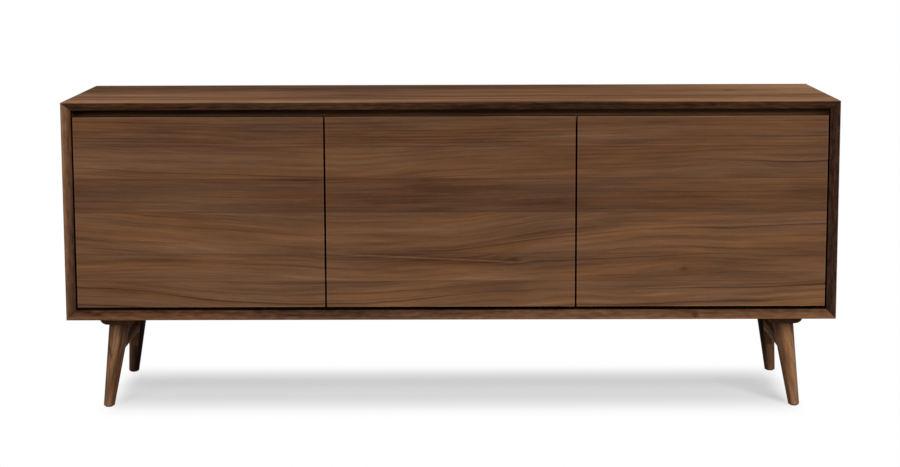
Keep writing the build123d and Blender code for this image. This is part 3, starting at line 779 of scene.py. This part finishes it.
# Painted light and shade on the left bevel, painted shade on the right one, and on both rims.
for side, seed, outer, shades, drift in (
    ("left", 5, case_low.x, (0.15, -0.57), 0.31),
    ("right", 6, case_high.x, (-0.42, -0.46), 0.0),
):
    edges, boards = even_boards(*depth_edges, count=4, seed=seed, tone=0.54)
    side_walnut = walnut(
        f"{side}_side_walnut", "zxy", edges, boards, waviness=0.8,
        shading=bevel_shading("x", outer, *shades, rim_painted_shade=-0.92, drift=drift, along="z"),
    )
    dress(side_walnut, f"{side}_side_panel")

# %% [markdown]
# ## The finger rail
#
# A rail set back above the doors closes the gap where fingers reach in to pull them open. It is the same
# walnut, but a painted shadow from the top panel takes it almost black towards the top. A plain dark
# colour would look like a hole, so the painted shadow falls off with height, and the rail's grain still
# shows at its lower edge.

# %% Finger rail
GAP_HEIGHT = (door_high.z + 0.001, door_high.z + 0.0075)
# Painted shadow under the top panel, from the rail's lower edge up to its top.
GAP_PAINTED_SHADOW = (0.11, -0.12)
GAP_DRIFT = 0.23
RAIL_BOARDS = (0.60, 0.75)


def finger_rail_shading(wiring):
    """A painted shadow darkens the rail up under the panel; it is also darker towards the left."""
    x, y, z = wiring.split(wiring.place())
    return wiring.weigh(x, GAP_DRIFT, wiring.step(z, *GAP_HEIGHT, *GAP_PAINTED_SHADOW)), 0.0


edges, boards = even_boards(*RAIL_BOARDS, count=2, seed=8, tone=0.42)
dress(walnut("finger_rail_walnut", "xyz", edges, boards, shading=finger_rail_shading), "finger_rail")

# %% [markdown]
# ## Inside
#
# Shelves, partitions and back are veneered like the outside, and an open door shows them. A simpler brown
# would do while the doors are shut, but the recipe is there already, so they get it with boards of their
# own. The front edge of a partition stands right behind the joint of two doors and gets painted shade.

# %% Shelves, partitions and back
partition_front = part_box("left_partition")[0].y
# Painted shade on the partitions' front edges, seen through the gaps between doors.
PARTITION_SHADED_EDGE = (partition_front + 0.0004, partition_front + 0.0008)
PARTITION_PAINTED_SHADE = -0.9
BACK_BOARDS = (0.20, 0.76)


def partition_shading(wiring):
    """Painted shade on the front edge, so that the gap between two doors reads as a black line."""
    x, y, z = wiring.split(wiring.place())
    return wiring.step(y, *PARTITION_SHADED_EDGE, PARTITION_PAINTED_SHADE, 0.0), 0.0


edges, boards = even_boards(*depth_edges, count=5, seed=31, tone=0.52)
dress(walnut("shelf_walnut", "xzy", edges, boards), "left_shelf", "middle_shelf", "right_shelf")
edges, boards = even_boards(*depth_edges, count=5, seed=47, tone=0.50)
partition_walnut = walnut(
    "partition_walnut", "zxy", edges, boards, waviness=0.8, shading=partition_shading
)
dress(partition_walnut, "left_partition", "right_partition")
edges, boards = even_boards(*BACK_BOARDS, count=5, seed=59, tone=0.48)
dress(walnut("back_walnut", "xyz", edges, boards), "back_panel")

# %% [markdown]
# ## The legs
#
# A leg is turned from one piece, so its grain runs along its own leaning axis and not straight up. The
# grain could be left upright, but it would then break out at the sides of a splayed leg. A Mapping node
# in its texture mode turns the coordinates to the leg's axis, which is measured on the mesh, from the
# middle of the foot to the middle of the crown. Each leg has a tone of its own, and painted shade darkens
# its inner side.

# %% Legs
LEG_TONES = {
    "left_front_leg": 0.64,
    "left_back_leg": 0.56,
    "right_front_leg": 0.58,
    "right_back_leg": 0.36,
}
LEG_BOARD = 0.06
LEG_SEED = 70
LEG_INSIDE = (0.25, 0.95)
# Painted shade round the inner side of each leg.
LEG_INSIDE_PAINTED_SHADE = -0.34
FOOT_SLICE = 0.004
CROWN_SLICE = 0.001


def middle_of(points):
    """The mean of some points, and how wide they spread along X to either side of it."""
    middle = sum(points, Vector()) / len(points)
    return middle, max(abs(point.x - middle.x) for point in points)


def leg_shading(foot, crown, foot_radius, crown_radius):
    """Painted shade round a leg's inner side, which faces the other leg frame."""
    inward = -math.copysign(1.0, foot.x)

    def shading(wiring):
        x, y, z = wiring.split(wiring.place())
        axis = wiring.line(z, foot.z, crown.z, foot.x, crown.x)
        radius = wiring.line(z, foot.z, crown.z, foot_radius, crown_radius)
        aside = wiring.over(wiring.minus(x, axis), radius)
        return wiring.step(wiring.times(aside, inward), *LEG_INSIDE, 0.0, LEG_INSIDE_PAINTED_SHADE), 0.0

    return shading


for index, (name, tone) in enumerate(LEG_TONES.items()):
    low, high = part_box(name)
    points = [vertex.co for vertex in nodes[name].data.vertices]
    foot, foot_radius = middle_of([point for point in points if point.z < low.z + FOOT_SLICE])
    crown, crown_radius = middle_of([point for point in points if point.z > high.z - CROWN_SLICE])
    edges, boards = even_boards(-LEG_BOARD, LEG_BOARD, 1, LEG_SEED + index, tone, spread=0.0)
    leg_walnut = walnut(
        f"{name}_walnut", "xyz", edges, boards, waviness=0.4, ribbons=1.3, contrast=1.8, fineness=2.2,
        roughness=0.6, shading=leg_shading(foot, crown, foot_radius, crown_radius), place=foot,
        turn=(crown - foot).to_track_quat("X", "Z").to_euler(),
    )
    dress(leg_walnut, name)

# %% [markdown]
# ## Leg rails and bars
#
# On each side a rail under the case and a bar between the legs run from front to back, and so does their
# grain. The rails are dark and hardly seen. The bar's lower edge carries a painted highlight, where its
# rounded arris catches light: a chamfer with a finish of its own could carry that, but one soft band at
# the right height does it.

# %% Leg rails and bars
RAIL_STOCK = (-1.0, 1.0)
BAR_STOCK = (0.0, 0.3)
BAR_UNDERSIDE = 0.1225
# A painted highlight on the bar's lower arris.
HIGHLIGHT_WIDTH = 0.0035
PAINTED_HIGHLIGHT = 1.1


def bar_shading(wiring):
    """A painted highlight along the lower edge of the bar."""
    x, y, z = wiring.split(wiring.place())
    highlight_band = wiring.bell(wiring.minus(z, BAR_UNDERSIDE), HIGHLIGHT_WIDTH)
    return wiring.times(highlight_band, PAINTED_HIGHLIGHT), 0.0


edges, boards = even_boards(*RAIL_STOCK, count=2, seed=83, tone=0.34)
dress(walnut("leg_rail_walnut", "yzx", edges, boards, waviness=0.6), "left_leg_rail", "right_leg_rail")
edges, boards = even_boards(*BAR_STOCK, count=1, seed=89, tone=0.58)
bar_walnut = walnut(
    "stretcher_walnut", "yxz", edges, boards, waviness=0.6, fineness=1.6, sheen=0.004, shading=bar_shading
)
dress(bar_walnut, "left_leg_stretcher", "right_leg_stretcher")

# %% [markdown]
# ## Beech
#
# The dowels and splines inside the joints are bare beech: pale, with tiny dark flecks. They are hidden
# until the cabinet comes apart, so two noises on one ramp are enough, where walnut needed a whole figure.

# %% Beech
BEECH_STOPS = ((0.0, linear(150, 112, 74)), (0.5, linear(194, 156, 112)), (1.0, linear(216, 184, 142)))
BEECH_STREAKS = (60.0, 30.0, 60.0)
BEECH_FLECKS = (700.0, 120.0, 700.0)
FLECK_EDGE = (0.62, 0.70)
FLECK_DARK = -0.25


def beech(name):
    """Bare beech with fine flecks."""
    material, wiring = new_material(name)
    place = wiring.place()
    streaks = wiring.noise(place, BEECH_STREAKS, 3.0)
    flecks = wiring.step(wiring.noise(place, BEECH_FLECKS, 1.0), *FLECK_EDGE, 0.0, FLECK_DARK)
    colour = wiring.ramp(wiring.plus(streaks, flecks), BEECH_STOPS)
    wiring.surface({"Base Color": colour, "Roughness": 0.62})
    return material


dress(beech("bare_beech"), "mitre_splines", "partition_dowels", "stretcher_dowels")

# %% [markdown]
# ## Metals
#
# The hinges are pressed steel with a dull nickel plate, drawn faintly along their length, their pins and
# the shelf pins are bright steel, screws and strikes are zinc, and the magnets have a dark plate. A shiny
# grey would do from afar. Close to, an open door shows cloudy plating over fine lines, so both drive the
# colour and the gloss, and the lines the bump as well.

# %% Metals
PLATE_CLOUDS = (90.0, 90.0, 90.0)
PLATE_STOPS = (0.3, 0.7)
PLATE_GLOSS = 0.18
PLATE_RELIEF = {"Strength": 0.15, "Distance": 0.0001}


def plated(name, dark, light, roughness, drawn):
    """Plated steel: cloudy plating over fine lines drawn along one axis."""
    material, wiring = new_material(name)
    place = wiring.place()
    clouds = wiring.noise(place, PLATE_CLOUDS, 3.0)
    lines = wiring.noise(place, drawn)
    mixed = wiring.weigh(lines, 0.5, wiring.times(clouds, 0.5))
    wiring.surface({
        "Base Color": wiring.ramp(mixed, list(zip(PLATE_STOPS, (linear(*dark), linear(*light))))),
        "Metallic": 1.0,
        "Roughness": wiring.weigh(mixed, PLATE_GLOSS, roughness - 0.5 * PLATE_GLOSS),
        "Normal": wiring.add("ShaderNodeBump", {**PLATE_RELIEF, "Height": lines}).outputs[0],
    })
    return material


nickel = plated("dull_nickel", (150, 148, 143), (192, 190, 184), 0.34, (2600.0, 60.0, 2600.0))
bright_steel = plated("bright_steel", (140, 141, 143), (186, 187, 189), 0.28, (900.0, 900.0, 60.0))
zinc = plated("zinc_plate", (128, 129, 128), (178, 178, 172), 0.40, (700.0, 700.0, 700.0))
magnet_plate = plated("dark_plate", (62, 62, 65), (98, 98, 101), 0.36, (600.0, 600.0, 600.0))
for bay in ("left", "middle", "right"):
    dress(nickel, f"{bay}_hinge_cups", f"{bay}_hinge_arms", f"{bay}_hinge_plates")
    dress(bright_steel, f"{bay}_hinge_pins")
    dress(zinc, f"{bay}_magnet_strike")
dress(bright_steel, "shelf_pins")
dress(magnet_plate, "door_magnets")

# %% [markdown]
# ## Rubber and nylon
#
# A soft grey bumper stops each door, and black nylon glides sit under the feet. Both come out of a mould
# with a finely speckled skin. Such a skin could be displaced geometry, but its grains are far smaller
# than a face, so it is bump.

# %% Rubber and nylon
SPECKLE = (1500.0, 1500.0, 1500.0)
SPECKLE_SHARE = 0.4
MOULD_CLOUDS = (120.0, 120.0, 120.0)
MOULD_STOPS = (0.3, 0.7)
MOULD_GLOSS = 0.15
MOULD_RELIEF = {"Strength": 0.3, "Distance": 0.0001}


def moulded(name, dark, light, roughness):
    """A moulded part with a fine speckled skin."""
    material, wiring = new_material(name)
    place = wiring.place()
    speckle = wiring.noise(place, SPECKLE)
    clouds = wiring.noise(place, MOULD_CLOUDS)
    mixed = wiring.weigh(speckle, SPECKLE_SHARE, wiring.times(clouds, 1.0 - SPECKLE_SHARE))
    wiring.surface({
        "Base Color": wiring.ramp(mixed, list(zip(MOULD_STOPS, (linear(*dark), linear(*light))))),
        "Roughness": wiring.weigh(speckle, MOULD_GLOSS, roughness),
        "Normal": wiring.add("ShaderNodeBump", {**MOULD_RELIEF, "Height": speckle}).outputs[0],
    })
    return material


dress(moulded("soft_bumper", (150, 150, 146), (178, 178, 172), 0.45), "door_bumpers")
dress(moulded("nylon_glide", (24, 22, 20), (40, 37, 34), 0.5), "foot_glides")

# %% [markdown]
# ## Where the screws are
#
# Screws in several sizes hold the back, the hinges and the leg frames. The CAD has them as plain shanks
# with heads, several to a node. Their places could be written down again, but each CAD screw already says
# where its head sits, which way it drives and how large it is, so all of that is measured: a node is
# parted into its separate screws, and each is looked at along its longest side.

# %% Part the screws
MERGE = 1e-6


def screw_islands(name):
    """The points of each separate screw in a CAD node, taken from a merged copy."""
    form = bmesh.new()
    form.from_mesh(nodes[name].data)
    bmesh.ops.remove_doubles(form, verts=form.verts, dist=MERGE)
    seen = set()
    islands = []
    for start in form.verts:
        if start in seen:
            continue
        seen.add(start)
        front = [start]
        island = []
        while front:
            vert = front.pop()
            island.append(vert.co.copy())
            fresh = [edge.other_vert(vert) for edge in vert.link_edges]
            front += [other for other in fresh if other not in seen]
            seen.update(fresh)
        islands.append(island)
    form.free()
    return islands


print(len(screw_islands("back_panel_screws")), "separate screws in the back")

# %% Measure the screws
SHANK_END = 0.9
SHANK_SLACK = 1.02
LEAST_HEAD = 0.0004


def measure_screw(points):
    """A screw's head middle, its way into the wood and its sizes."""
    low = Vector(min(point[axis] for point in points) for axis in range(3))
    high = Vector(max(point[axis] for point in points) for axis in range(3))
    size = high - low
    axis = max(range(3), key=lambda index: size[index])
    middle = (low + high) / 2
    across = [index for index in range(3) if index != axis]
    radius = [math.hypot(*(point[index] - middle[index] for index in across)) for point in points]
    head_radius = max(radius)
    widest = points[radius.index(head_radius)][axis]
    way = Vector((0.0, 0.0, 0.0))
    way[axis] = 1.0 if widest < middle[axis] else -1.0
    head = middle - way * size[axis] / 2
    depth = [(point - head).dot(way) for point in points]
    shank_radius = max(r for r, d in zip(radius, depth) if d > SHANK_END * size[axis])
    below_head = [d for r, d in zip(radius, depth) if r < shank_radius * SHANK_SLACK and d > LEAST_HEAD]
    sizes = {
        "Head diameter": 2 * head_radius,
        "Head height": min(below_head),
        "Shank diameter": 2 * shank_radius,
        "Length": size[axis],
    }
    return head, way, sizes


for name in ("back_panel_screws", "hinge_plate_screws", "hinge_arm_screws", "leg_rail_screws"):
    islands = screw_islands(name)
    head, way, sizes = measure_screw(islands[0])
    shown = {key: round(1000 * value, 2) for key, value in sizes.items()}
    print(name, len(islands), "screws, first at", [round(c, 4) for c in head], tuple(way), shown)

# %% [markdown]
# ## The screw tree
#
# A real screw is turned on a lathe, its cross is struck and its thread is rolled. One Geometry Nodes tree
# does the same: it stacks cones, cuts the cross with a boolean, winds the thread along a spiral, and puts
# a copy on every point. Screws modelled one by one would be the same work many times over. Each copy gets
# its own turn, because nobody lines up screw heads.

# %% Turn the blank
CORNERS = 20
CORE_SHARE = 0.78
TIP_SHARE = 0.82


def moved(wiring, geometry, height):
    """Geometry put deeper along the screw."""
    values = {"Geometry": geometry, "Translation": wiring.join(0.0, 0.0, height)}
    return wiring.add("GeometryNodeTransform", values).outputs[0]


def cone(wiring, start, end, from_height, to_height):
    """One open band of the screw, from radius start to radius end."""
    values = {
        "Vertices": CORNERS,
        "Radius Bottom": start,
        "Radius Top": end,
        "Depth": wiring.minus(to_height, from_height),
    }
    band = wiring.add("GeometryNodeMeshCone", values, fill_type="NONE").outputs["Mesh"]
    return moved(wiring, band, from_height)


def turned_blank(wiring, given):
    """A screw without cross or thread: face, crown, head, core and tip, closed into one skin."""
    head = wiring.times(given["Head diameter"], 0.5)
    core = wiring.times(given["Shank diameter"], 0.5 * CORE_SHARE)
    face = wiring.minus(head, given["Crown taper"])
    crown, neck = given["Crown height"], given["Head height"]
    tip = wiring.times(given["Length"], TIP_SHARE)
    disc = wiring.add("GeometryNodeMeshCircle", {"Vertices": CORNERS, "Radius": face}, fill_type="NGON")
    stack = wiring.add("GeometryNodeJoinGeometry")
    for part in (
        wiring.add("GeometryNodeFlipFaces", {"Mesh": disc.outputs[0]}).outputs[0],
        cone(wiring, face, head, 0.0, crown),
        cone(wiring, head, core, crown, neck),
        cone(wiring, core, core, neck, tip),
        cone(wiring, core, 0.0, tip, given["Length"]),
    ):
        wiring.feed(stack.inputs[0], part)
    values = {"Geometry": stack.outputs[0], "Distance": MERGE}
    return wiring.add("GeometryNodeMergeByDistance", values).outputs[0]


print("screws are turned with", CORNERS, "corners")

# %% Cut the cross and wind the thread
SLOT_WIDTH = 0.26
SLOT_DEPTH = 0.7
THREAD_PITCH = 0.0016
THREAD_STEPS = 14
THREAD_SHARE = 0.44
RIDGE = 0.00024


def cut_cross(wiring, given, blank):
    """The blank with two crossed slots cut out of its face."""
    length = given["Cross length"]
    width = wiring.times(length, SLOT_WIDTH)
    depth = wiring.times(length, SLOT_DEPTH)
    cut = wiring.add("GeometryNodeMeshBoolean", {"Mesh 1": blank}, operation="DIFFERENCE", solver="EXACT")
    for size in (wiring.join(length, width, depth), wiring.join(width, length, depth)):
        slot = wiring.add("GeometryNodeMeshCube", {"Size": size}).outputs[0]
        wiring.feed(cut.inputs["Mesh 2"], slot)
    return cut.outputs["Mesh"]


def wound_thread(wiring, given):
    """A three-sided ridge wound along the shank, from the neck to where the tip begins."""
    tip = wiring.times(given["Length"], TIP_SHARE)
    run = wiring.minus(tip, given["Head height"])
    radius = wiring.times(given["Shank diameter"], THREAD_SHARE)
    values = {
        "Resolution": THREAD_STEPS,
        "Rotations": wiring.over(run, THREAD_PITCH),
        "Start Radius": radius,
        "End Radius": radius,
        "Height": run,
    }
    spiral = wiring.add("GeometryNodeCurveSpiral", values).outputs[0]
    ridge = wiring.add("GeometryNodeCurvePrimitiveCircle", {"Resolution": 3, "Radius": RIDGE}).outputs[0]
    values = {"Curve": spiral, "Profile Curve": ridge, "Fill Caps": True}
    thread = wiring.add("GeometryNodeCurveToMesh", values).outputs[0]
    return moved(wiring, thread, given["Head height"])


print("thread pitch", 1000 * THREAD_PITCH, "mm")

# %% Copy the screw to every point
SHARP_EDGE = math.radians(35)
CROSS_TURN = math.pi / 2


def sharp_edged(wiring, geometry):
    """Smooth shading, with the edges of face, cross and head kept crisp."""
    angle = wiring.add("GeometryNodeInputMeshEdgeAngle").outputs["Unsigned Angle"]
    sharp = wiring.math("GREATER_THAN", angle, SHARP_EDGE)
    smooth = wiring.add("GeometryNodeSetShadeSmooth", {"Geometry": geometry, "Shade Smooth": True})
    values = {"Geometry": smooth.outputs[0], "Selection": sharp, "Shade Smooth": False}
    return wiring.add("GeometryNodeSetShadeSmooth", values, domain="EDGE").outputs[0]


def copies_of(wiring, given, screw):
    """A copy on every point, driven along the point's own direction and turned at random."""
    into = wiring.add("GeometryNodeInputNamedAttribute", {"Name": "into"}, data_type="FLOAT_VECTOR")
    values = {"Vector": into.outputs[0]}
    facing = wiring.add("FunctionNodeAlignRotationToVector", values, axis="Z").outputs[0]
    values = {3: CROSS_TURN, "Seed": given["Turn seed"]}
    draw = wiring.add("FunctionNodeRandomValue", values, data_type="FLOAT")
    values = {"Axis": (0.0, 0.0, 1.0), "Angle": draw.outputs[1]}
    spin = wiring.add("FunctionNodeAxisAngleToRotation", values).outputs[0]
    values = {"Rotation": facing, "Rotate By": spin}
    turn = wiring.add("FunctionNodeRotateRotation", values, rotation_space="LOCAL").outputs[0]
    values = {"Points": given["Geometry"], "Instance": screw, "Rotation": turn}
    return wiring.add("GeometryNodeInstanceOnPoints", values).outputs[0]


print("edges sharper than", round(math.degrees(SHARP_EDGE)), "degrees stay crisp")

# %% Put the tree together
SCREW_SIZES = (
    "Head diameter", "Head height", "Crown height", "Crown taper",
    "Shank diameter", "Length", "Cross length",
)


def screw_tree():
    """A tree that turns one screw, cuts its cross, winds its thread and copies it to every point."""
    tree = bpy.data.node_groups.new("screw_tree", "GeometryNodeTree")
    tree.interface.new_socket("Geometry", in_out="INPUT", socket_type="NodeSocketGeometry")
    for name in SCREW_SIZES:
        tree.interface.new_socket(name, in_out="INPUT", socket_type="NodeSocketFloat")
    tree.interface.new_socket("Turn seed", in_out="INPUT", socket_type="NodeSocketInt")
    tree.interface.new_socket("Finish", in_out="INPUT", socket_type="NodeSocketMaterial")
    tree.interface.new_socket("Geometry", in_out="OUTPUT", socket_type="NodeSocketGeometry")
    wiring = Wiring(tree)
    given = wiring.add("NodeGroupInput").outputs
    whole = wiring.add("GeometryNodeJoinGeometry")
    wiring.feed(whole.inputs[0], cut_cross(wiring, given, turned_blank(wiring, given)))
    wiring.feed(whole.inputs[0], wound_thread(wiring, given))
    copies = copies_of(wiring, given, sharp_edged(wiring, whole.outputs[0]))
    real = wiring.add("GeometryNodeRealizeInstances", {"Geometry": copies}).outputs[0]
    values = {"Geometry": real, "Material": given["Finish"]}
    finished = wiring.add("GeometryNodeSetMaterial", values).outputs[0]
    wiring.add("NodeGroupOutput", {"Geometry": finished})
    return tree


screws = screw_tree()
screw_inputs = [item for item in screws.interface.items_tree if item.in_out == "INPUT"]
screw_socket = {item.name: item.identifier for item in screw_inputs}
print("screw tree:", len(screws.nodes), "nodes")

# %% [markdown]
# ## Put the screws in
#
# Each CAD node of screws becomes a handful of points that know their direction. The tree runs on them as
# a modifier, and its result is kept as a plain mesh, which takes the node's place and rides on the same
# body. A live modifier would work in a render, but the exported model needs a mesh. Screws for wood have
# flat heads, those that hold arms and rails have domed ones.

# %% Put the screws in
CROSS_SHARE = 0.52
FLAT = {"Crown height": 0.00025, "Crown taper": 0.0002}
DOMED = {"Crown height": 0.0016, "Crown taper": 0.0014}


def screw_points(name, measured):
    """An object with a point on each screw's head, which knows the screw's way into the wood."""
    mesh = bpy.data.meshes.new(f"{name}_points")
    mesh.from_pydata([head for head, way, sizes in measured], [], [])
    into = mesh.attributes.new("into", "FLOAT_VECTOR", "POINT")
    for entry, (head, way, sizes) in zip(into.data, measured):
        entry.vector = way
    maker = bpy.data.objects.new(f"{name}_maker", mesh)
    scene.collection.objects.link(maker)
    return maker


def cut_screws(name, seed, crown):
    """Real screws in the places of one CAD node, as one plain mesh."""
    measured = [measure_screw(points) for points in screw_islands(name)]
    maker = screw_points(name, measured)
    modifier = maker.modifiers.new("screws", "NODES")
    modifier.node_group = screws
    inputs = {**measured[0][2], **crown, "Turn seed": seed, "Finish": zinc}
    inputs["Cross length"] = CROSS_SHARE * inputs["Head diameter"]
    for key, value in inputs.items():
        modifier[screw_socket[key]] = value
    evaluated = maker.evaluated_get(bpy.context.evaluated_depsgraph_get())
    finished = bpy.data.meshes.new_from_object(evaluated)
    finished.name = f"cut_{name}"
    maker.modifiers.remove(modifier)
    bpy.data.objects.remove(maker)
    piece = bpy.data.objects.new(f"cut_{name}", finished)
    scene.collection.objects.link(piece)
    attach(piece, body_of_node[name])
    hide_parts(name)
    print(piece.name, len(measured), "screws,", len(finished.polygons), "faces")


for seed, name in enumerate(("back_panel_screws", "hinge_plate_screws")):
    cut_screws(name, seed, FLAT)
for seed, bay in enumerate(("left", "middle", "right")):
    cut_screws(f"{bay}_hinge_cup_screws", 10 + seed, FLAT)
cut_screws("hinge_arm_screws", 20, DOMED)
cut_screws("leg_rail_screws", 21, DOMED)

# %% [markdown]
# ## The floor
#
# The picture is a cut-out on white, with a soft grey shadow under the cabinet. A floor bright enough to
# burn out to white would light the cabinet from below. So the floor is pale and really catches the
# shadow; seen directly it glows a little, so that it reaches white, and it fades to plain white further
# out, where the shadow has ended anyway. None of this glow lights the cabinet.

# %% Floor
FLOOR_SIZE = 30.0
FLOOR_PALE = (0.86, 0.86, 0.86, 1.0)
FLOOR_DULL = (0.25, 0.25, 0.25, 1.0)
WHITE = (1.0, 1.0, 1.0, 1.0)
SHADOW_SHARE = 0.60
SHADOW_WIDTH = (0.80, 0.872)
SHADOW_DEPTH = (0.06, 0.29)
SHADOW_MIDDLE = -0.025


def direct_look(wiring):
    """1 for rays that show the background itself: straight from the camera, mirrored or refracted."""
    path = wiring.add("ShaderNodeLightPath").outputs
    shown = wiring.math("MAXIMUM", path["Is Camera Ray"], path["Is Glossy Ray"])
    return wiring.math("MAXIMUM", shown, path["Is Transmission Ray"])


def floor_material():
    """A pale floor that shows as white apart from the shadow."""
    material, wiring = new_material("pale_floor")
    x, y, z = wiring.split(wiring.place())
    from_side = wiring.math("ABSOLUTE", x)
    from_middle = wiring.math("ABSOLUTE", wiring.minus(y, SHADOW_MIDDLE))
    share = wiring.step(from_side, *SHADOW_WIDTH, SHADOW_SHARE, 0.0)
    share = wiring.times(share, wiring.step(from_middle, *SHADOW_DEPTH, 1.0, 0.0))
    pale = wiring.add("ShaderNodeBsdfDiffuse", {"Color": FLOOR_PALE}).outputs[0]
    dull = wiring.add("ShaderNodeBsdfDiffuse", {"Color": FLOOR_DULL}).outputs[0]
    white = wiring.add("ShaderNodeEmission", {"Color": WHITE, "Strength": 1.0}).outputs[0]
    shown = wiring.add("ShaderNodeMixShader", {0: share, 1: white, 2: pale}).outputs[0]
    both = wiring.add("ShaderNodeMixShader", {0: direct_look(wiring), 1: dull, 2: shown}).outputs[0]
    wiring.add("ShaderNodeOutputMaterial", {"Surface": both})
    return material


floor_mesh = bpy.data.meshes.new("floor")
floor_form = bmesh.new()
bmesh.ops.create_grid(floor_form, x_segments=1, y_segments=1, size=FLOOR_SIZE / 2)
floor_form.to_mesh(floor_mesh)
floor_form.free()
floor_mesh.materials.append(floor_material())
floor = bpy.data.objects.new("floor", floor_mesh)
scene.collection.objects.link(floor)
floor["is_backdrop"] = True
print("floor", FLOOR_SIZE, "m square")

# %% [markdown]
# ## The sky
#
# A studio has white walls, which fill every shadow a little. A ring of cards could stand for them, but a
# white world is simpler: it is white where it is seen, straight or in metal, and dim where it lights the
# cabinet.

# %% Sky
AMBIENT = 0.36
world = bpy.data.worlds.new("studio")
world.use_nodes = True
world.node_tree.nodes.clear()
sky = Wiring(world.node_tree)
strength = sky.weigh(direct_look(sky), 1.0 - AMBIENT, AMBIENT)
background = sky.add("ShaderNodeBackground", {"Color": WHITE, "Strength": strength})
sky.add("ShaderNodeOutputWorld", {"Surface": background.outputs[0]})
scene.world = world
print("sky at", AMBIENT)

# %% [markdown]
# ## The lamps
#
# The picture is lit softly from the front, a little more from the right, with the top bright. Small lamps
# would draw hard shadows under the legs, so each lamp is a large soft box that faces the cabinet: a key,
# a weaker fill from the left, one above, and a low one behind, which keeps the shadow short at the back.

# %% Lamps
FRONT_MIDDLE = (0.0, -0.2, 0.5)


def soft_box(name, place, target, width, height, power):
    """A rectangular lamp that faces a target."""
    lamp = bpy.data.lights.new(name, "AREA")
    lamp.shape = "RECTANGLE"
    lamp.size = width
    lamp.size_y = height
    lamp.energy = power
    box = bpy.data.objects.new(name, lamp)
    box.location = place
    box.rotation_euler = (Vector(target) - Vector(place)).to_track_quat("-Z", "Y").to_euler()
    scene.collection.objects.link(box)
    print(name, power, "W")


soft_box("key_light", (3.0, -6.0, 4.2), FRONT_MIDDLE, width=3.4, height=3.4, power=390.0)
soft_box("fill_light", (-3.0, -5.0, 2.6), FRONT_MIDDLE, width=2.4, height=2.4, power=73.0)
soft_box("top_light", (0.0, 0.1, 3.2), (0.0, 0.0, 0.7), width=3.2, height=1.8, power=23.0)
soft_box("back_light", (-1.2, 4.2, 0.6), (0.0, 0.2, 0.5), width=3.0, height=0.9, power=60.0)

# %% [markdown]
# ## Sizes
#
# A dressed cabinet must be no larger than the bare one. Its box could be judged by eye, but two lists of
# corners tell at once, so the box from the start and the one now are printed side by side.

# %% Sizes
visual_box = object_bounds()
sizes = {"cad": [list(corner) for corner in cad_box], "visual": [list(corner) for corner in visual_box]}
print("boxes", sizes)
